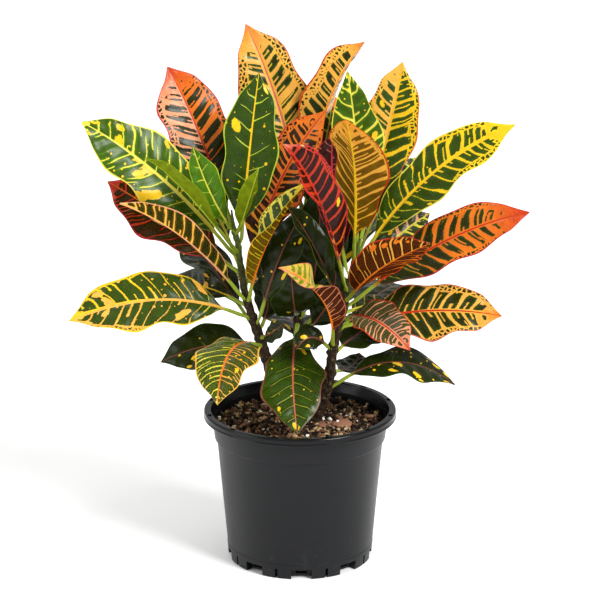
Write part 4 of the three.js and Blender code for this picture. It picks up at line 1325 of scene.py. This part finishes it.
def leaf_finish(name, values, settings, under):
    """A croton blade: green cells between coloured veins, under blotches, dots, the rib, a thin
    margin and the stalk's colour. The underside is matte, with raised veins."""
    tree = Finish(name)
    look = SimpleNamespace(**{
        key: toned(getattr(settings, value), settings.tone) if isinstance(value, str) else value
        for key, value in values.items()})
    along, across, _ = tree.split(tree.uv("LeafMap"))
    at = SimpleNamespace(along=along, edge=abs(across), right=tree.step(-.01, .01, across),
                         flat=tree.uv("FlatMap"), vein_map=tree.uv("VeinMap"),
                         from_rib=tree.attribute("ribwise"))
    at.patchy = tree.noise(at.vein_map, .55, 1)
    at.grain = tree.noise(at.flat, 5.5, 4)
    at.rough = tree.noise(at.flat, 6, 3)
    field = cell_field(tree, look, at)
    cell = tree.step(-.03, .06, field)
    base = leaf_colours(tree, look, at, field, cell)

    if look.blotches:
        spread = tree.stretch(at.vein_map, (1.15, .62, 1), (3.3, 1.7, 0))
        drift = tree.noise(at.flat, 3.2, 2, output="Color")
        blot = spots(tree, tree.stretch(drift, (.3, .3, 0), spread), 1, .8, look.blotches,
                     lambda size: (size * .7 + .45) * look.blotch_size)
        base = tree.mix(blot, base, look.blotch)
        cell = cell * (1 - blot)
    if look.dots:
        dot = spots(tree, at.flat, 1.9, 1, look.dots,
                    lambda size: size ** 2 * .2 + .07 + (at.rough - .5) * .1)
        base = tree.mix(dot, base, look.blotch)

    half_rib = (1 - along).math("MAXIMUM", 0) ** .7 * look.rib_width + .02
    rib = tree.below(half_rib, at.from_rib, .02)
    base = tree.mix(rib, base, look.rib)
    rim = tree.step(.94, .965, at.edge + (at.rough - .5) * .02)
    base = tree.mix(rim * .9, base, look.margin)
    base = tree.mix(tree.step(.05, -.03, along), base, look.stalk)
    cloud = tree.noise(at.flat, 1.7, 5)
    base = tree.mix(tree.step(.35, .65, cloud) * .3, base, tree.stretch(base, (.7, .58, .5)))
    base = tree.mix(tree.step(.62, .8, cloud) * .12, base, linear("#5c4a2c"))

    height = at.grain * .25 + (rib * .4 - cell * .5 if under else cell * .6)
    gloss = settings.gloss + (at.grain - .5) * .14 + (1 - cell) * .06 + (.3 if under else 0)
    return tree.finish(base, gloss, .03 if under else .17, tree.bump(height, .00025, .6))


def own_finish(name, finish, settings, made, under):
    """The upper or lower finish of a leaf: one of its own, or the one its kind shares."""
    kinds, own = (UNDER_LOOKS, OWN_UNDER_LOOKS) if under else (FINISH_LOOKS, OWN_LOOKS)
    key = (name if name in own else finish) + ("_underside" if under else "_blade")
    if key not in made:
        look = merged(PLAIN, kinds[finish], own.get(name, {}))
        made[key] = leaf_finish(key, look, settings, under)
    return made[key]


class CROTON_OT_leaves(Operator):
    """Builds the leaves, each a stalk and a blade with its own vein pattern"""

    bl_idname = "croton.leaves"
    bl_label = "Leaves"

    def execute(self, context):
        settings = context.scene.croton_leaves
        made = {}
        for number, (name, leaf) in enumerate(LEAVES.items()):
            rings, maps = leaf_surface(leaf, number, settings)
            materials = [own_finish(name, leaf.finish, settings, made, under)
                         for under in (False, True)]
            piece = build("blade_" + name, rings, tube_faces(rings), "leaf_" + leaf.finish,
                          materials, ["leaf_" + name])
            map_leaf(piece, maps, rings.shape[1], number)
            add_attribute(piece, "ribwise", np.abs(maps["FlatMap"][0]))
        return {"FINISHED"}


# ---- the stage ----
LIGHTS = {  # kind, place, and the angle of a distant light or the diameter of a soft one
    "key": ("SUN", (1.3, -1.1, 1.6), math.radians(24)),
    "fill": ("AREA", (-1.7, -.6, 1), 1.2),
    "top": ("AREA", (-.5, .8, 1.9), 1.2),
}
LIT = Vector((0, 0, .22))  # the point that the lights look at
FLOOR_HALF = 9  # half the floor's side
FLOOR_HEIGHT = -.0002  # keeps the floor just clear of the pot's feet


def add_light(name, kind, place, energy, size):
    """A light of a kind and size at a place, turned to the plant."""
    data = bpy.data.lights.new(name, kind)
    data.energy = energy
    if kind == "SUN":
        data.angle = size
    else:
        data.shape = "DISK"
        data.size = size
    light = add_object(name, data)
    light.location = place
    light.rotation_euler = (LIT - Vector(place)).to_track_quat("-Z", "Y").to_euler()


class CROTON_OT_stage(Operator):
    """Sets the camera, the pale floor and the soft studio lights"""

    bl_idname = "croton.stage"
    bl_label = "Stage"

    def execute(self, context):
        scene = context.scene
        stage = scene.croton_stage
        data = bpy.data.cameras.new("camera")
        data.lens = stage.lens
        data.sensor_width = 36
        camera = add_object("camera", data)
        back = Vector((0, -math.cos(stage.elevation), math.sin(stage.elevation)))
        camera.location = Vector((0, 0, stage.target_height)) + back * stage.distance
        camera.rotation_euler = (-back).to_track_quat("-Z", "Y").to_euler()
        scene.camera = camera

        corners = [(-1, -1), (1, -1), (1, 1), (-1, 1)]
        floor = add_mesh("floor", [(x * FLOOR_HALF, y * FLOOR_HALF, FLOOR_HEIGHT)
                                   for x, y in corners], [[(0, 1, 2, 3)]])
        tree = Finish("floor_paper")
        mottle = tree.noise(tree.place(), 6, 2)
        base = tree.mix(mottle * .02, stage.floor, toned(stage.floor, .97))
        floor.data.materials.append(tree.finish(base, .7, .1))

        for name, (kind, place, size) in LIGHTS.items():
            add_light(name, kind, place, stage.key if kind == "SUN" else stage.fill, size)
        world = bpy.data.worlds.new("surround")
        scene.world = world
        world.use_nodes = True
        background = world.node_tree.nodes["Background"]
        background.inputs["Color"].default_value = (1, 1, 1, 1)
        background.inputs["Strength"].default_value = stage.sky
        scene.view_settings.view_transform = "Standard"
        return {"FINISHED"}


class CROTON_PT_panel(Panel):
    """Lists the croton's pieces and their values"""

    bl_label = "Potted Croton"
    bl_idname = "CROTON_PT_panel"
    bl_space_type = "VIEW_3D"
    bl_region_type = "UI"
    bl_category = "Croton"

    def draw(self, context):
        for name, (settings, operator) in PIECES.items():
            box = self.layout.box()
            box.operator(operator.bl_idname)
            for key in settings.__annotations__:
                box.prop(getattr(context.scene, name), key)


PIECES = {
    "croton_pot": (PotSettings, CROTON_OT_pot),
    "croton_mix": (MixSettings, CROTON_OT_potting_mix),
    "croton_stems": (StemSettings, CROTON_OT_stems),
    "croton_leaves": (LeafSettings, CROTON_OT_leaves),
    "croton_stage": (StageSettings, CROTON_OT_stage),
}


def register():
    for name, (settings, operator) in PIECES.items():
        bpy.utils.register_class(settings)
        bpy.utils.register_class(operator)
        setattr(bpy.types.Scene, name, PointerProperty(type=settings))
    bpy.utils.register_class(CROTON_PT_panel)


def unregister():
    bpy.utils.unregister_class(CROTON_PT_panel)
    for name, (settings, operator) in PIECES.items():
        delattr(bpy.types.Scene, name)
        bpy.utils.unregister_class(operator)
        bpy.utils.unregister_class(settings)


def main():
    """Builds everything."""
    register()
    bpy.ops.croton.stage()
    bpy.ops.croton.pot()
    bpy.ops.croton.potting_mix()
    bpy.ops.croton.stems()
    bpy.ops.croton.leaves()


if __name__ == "__main__":
    main()
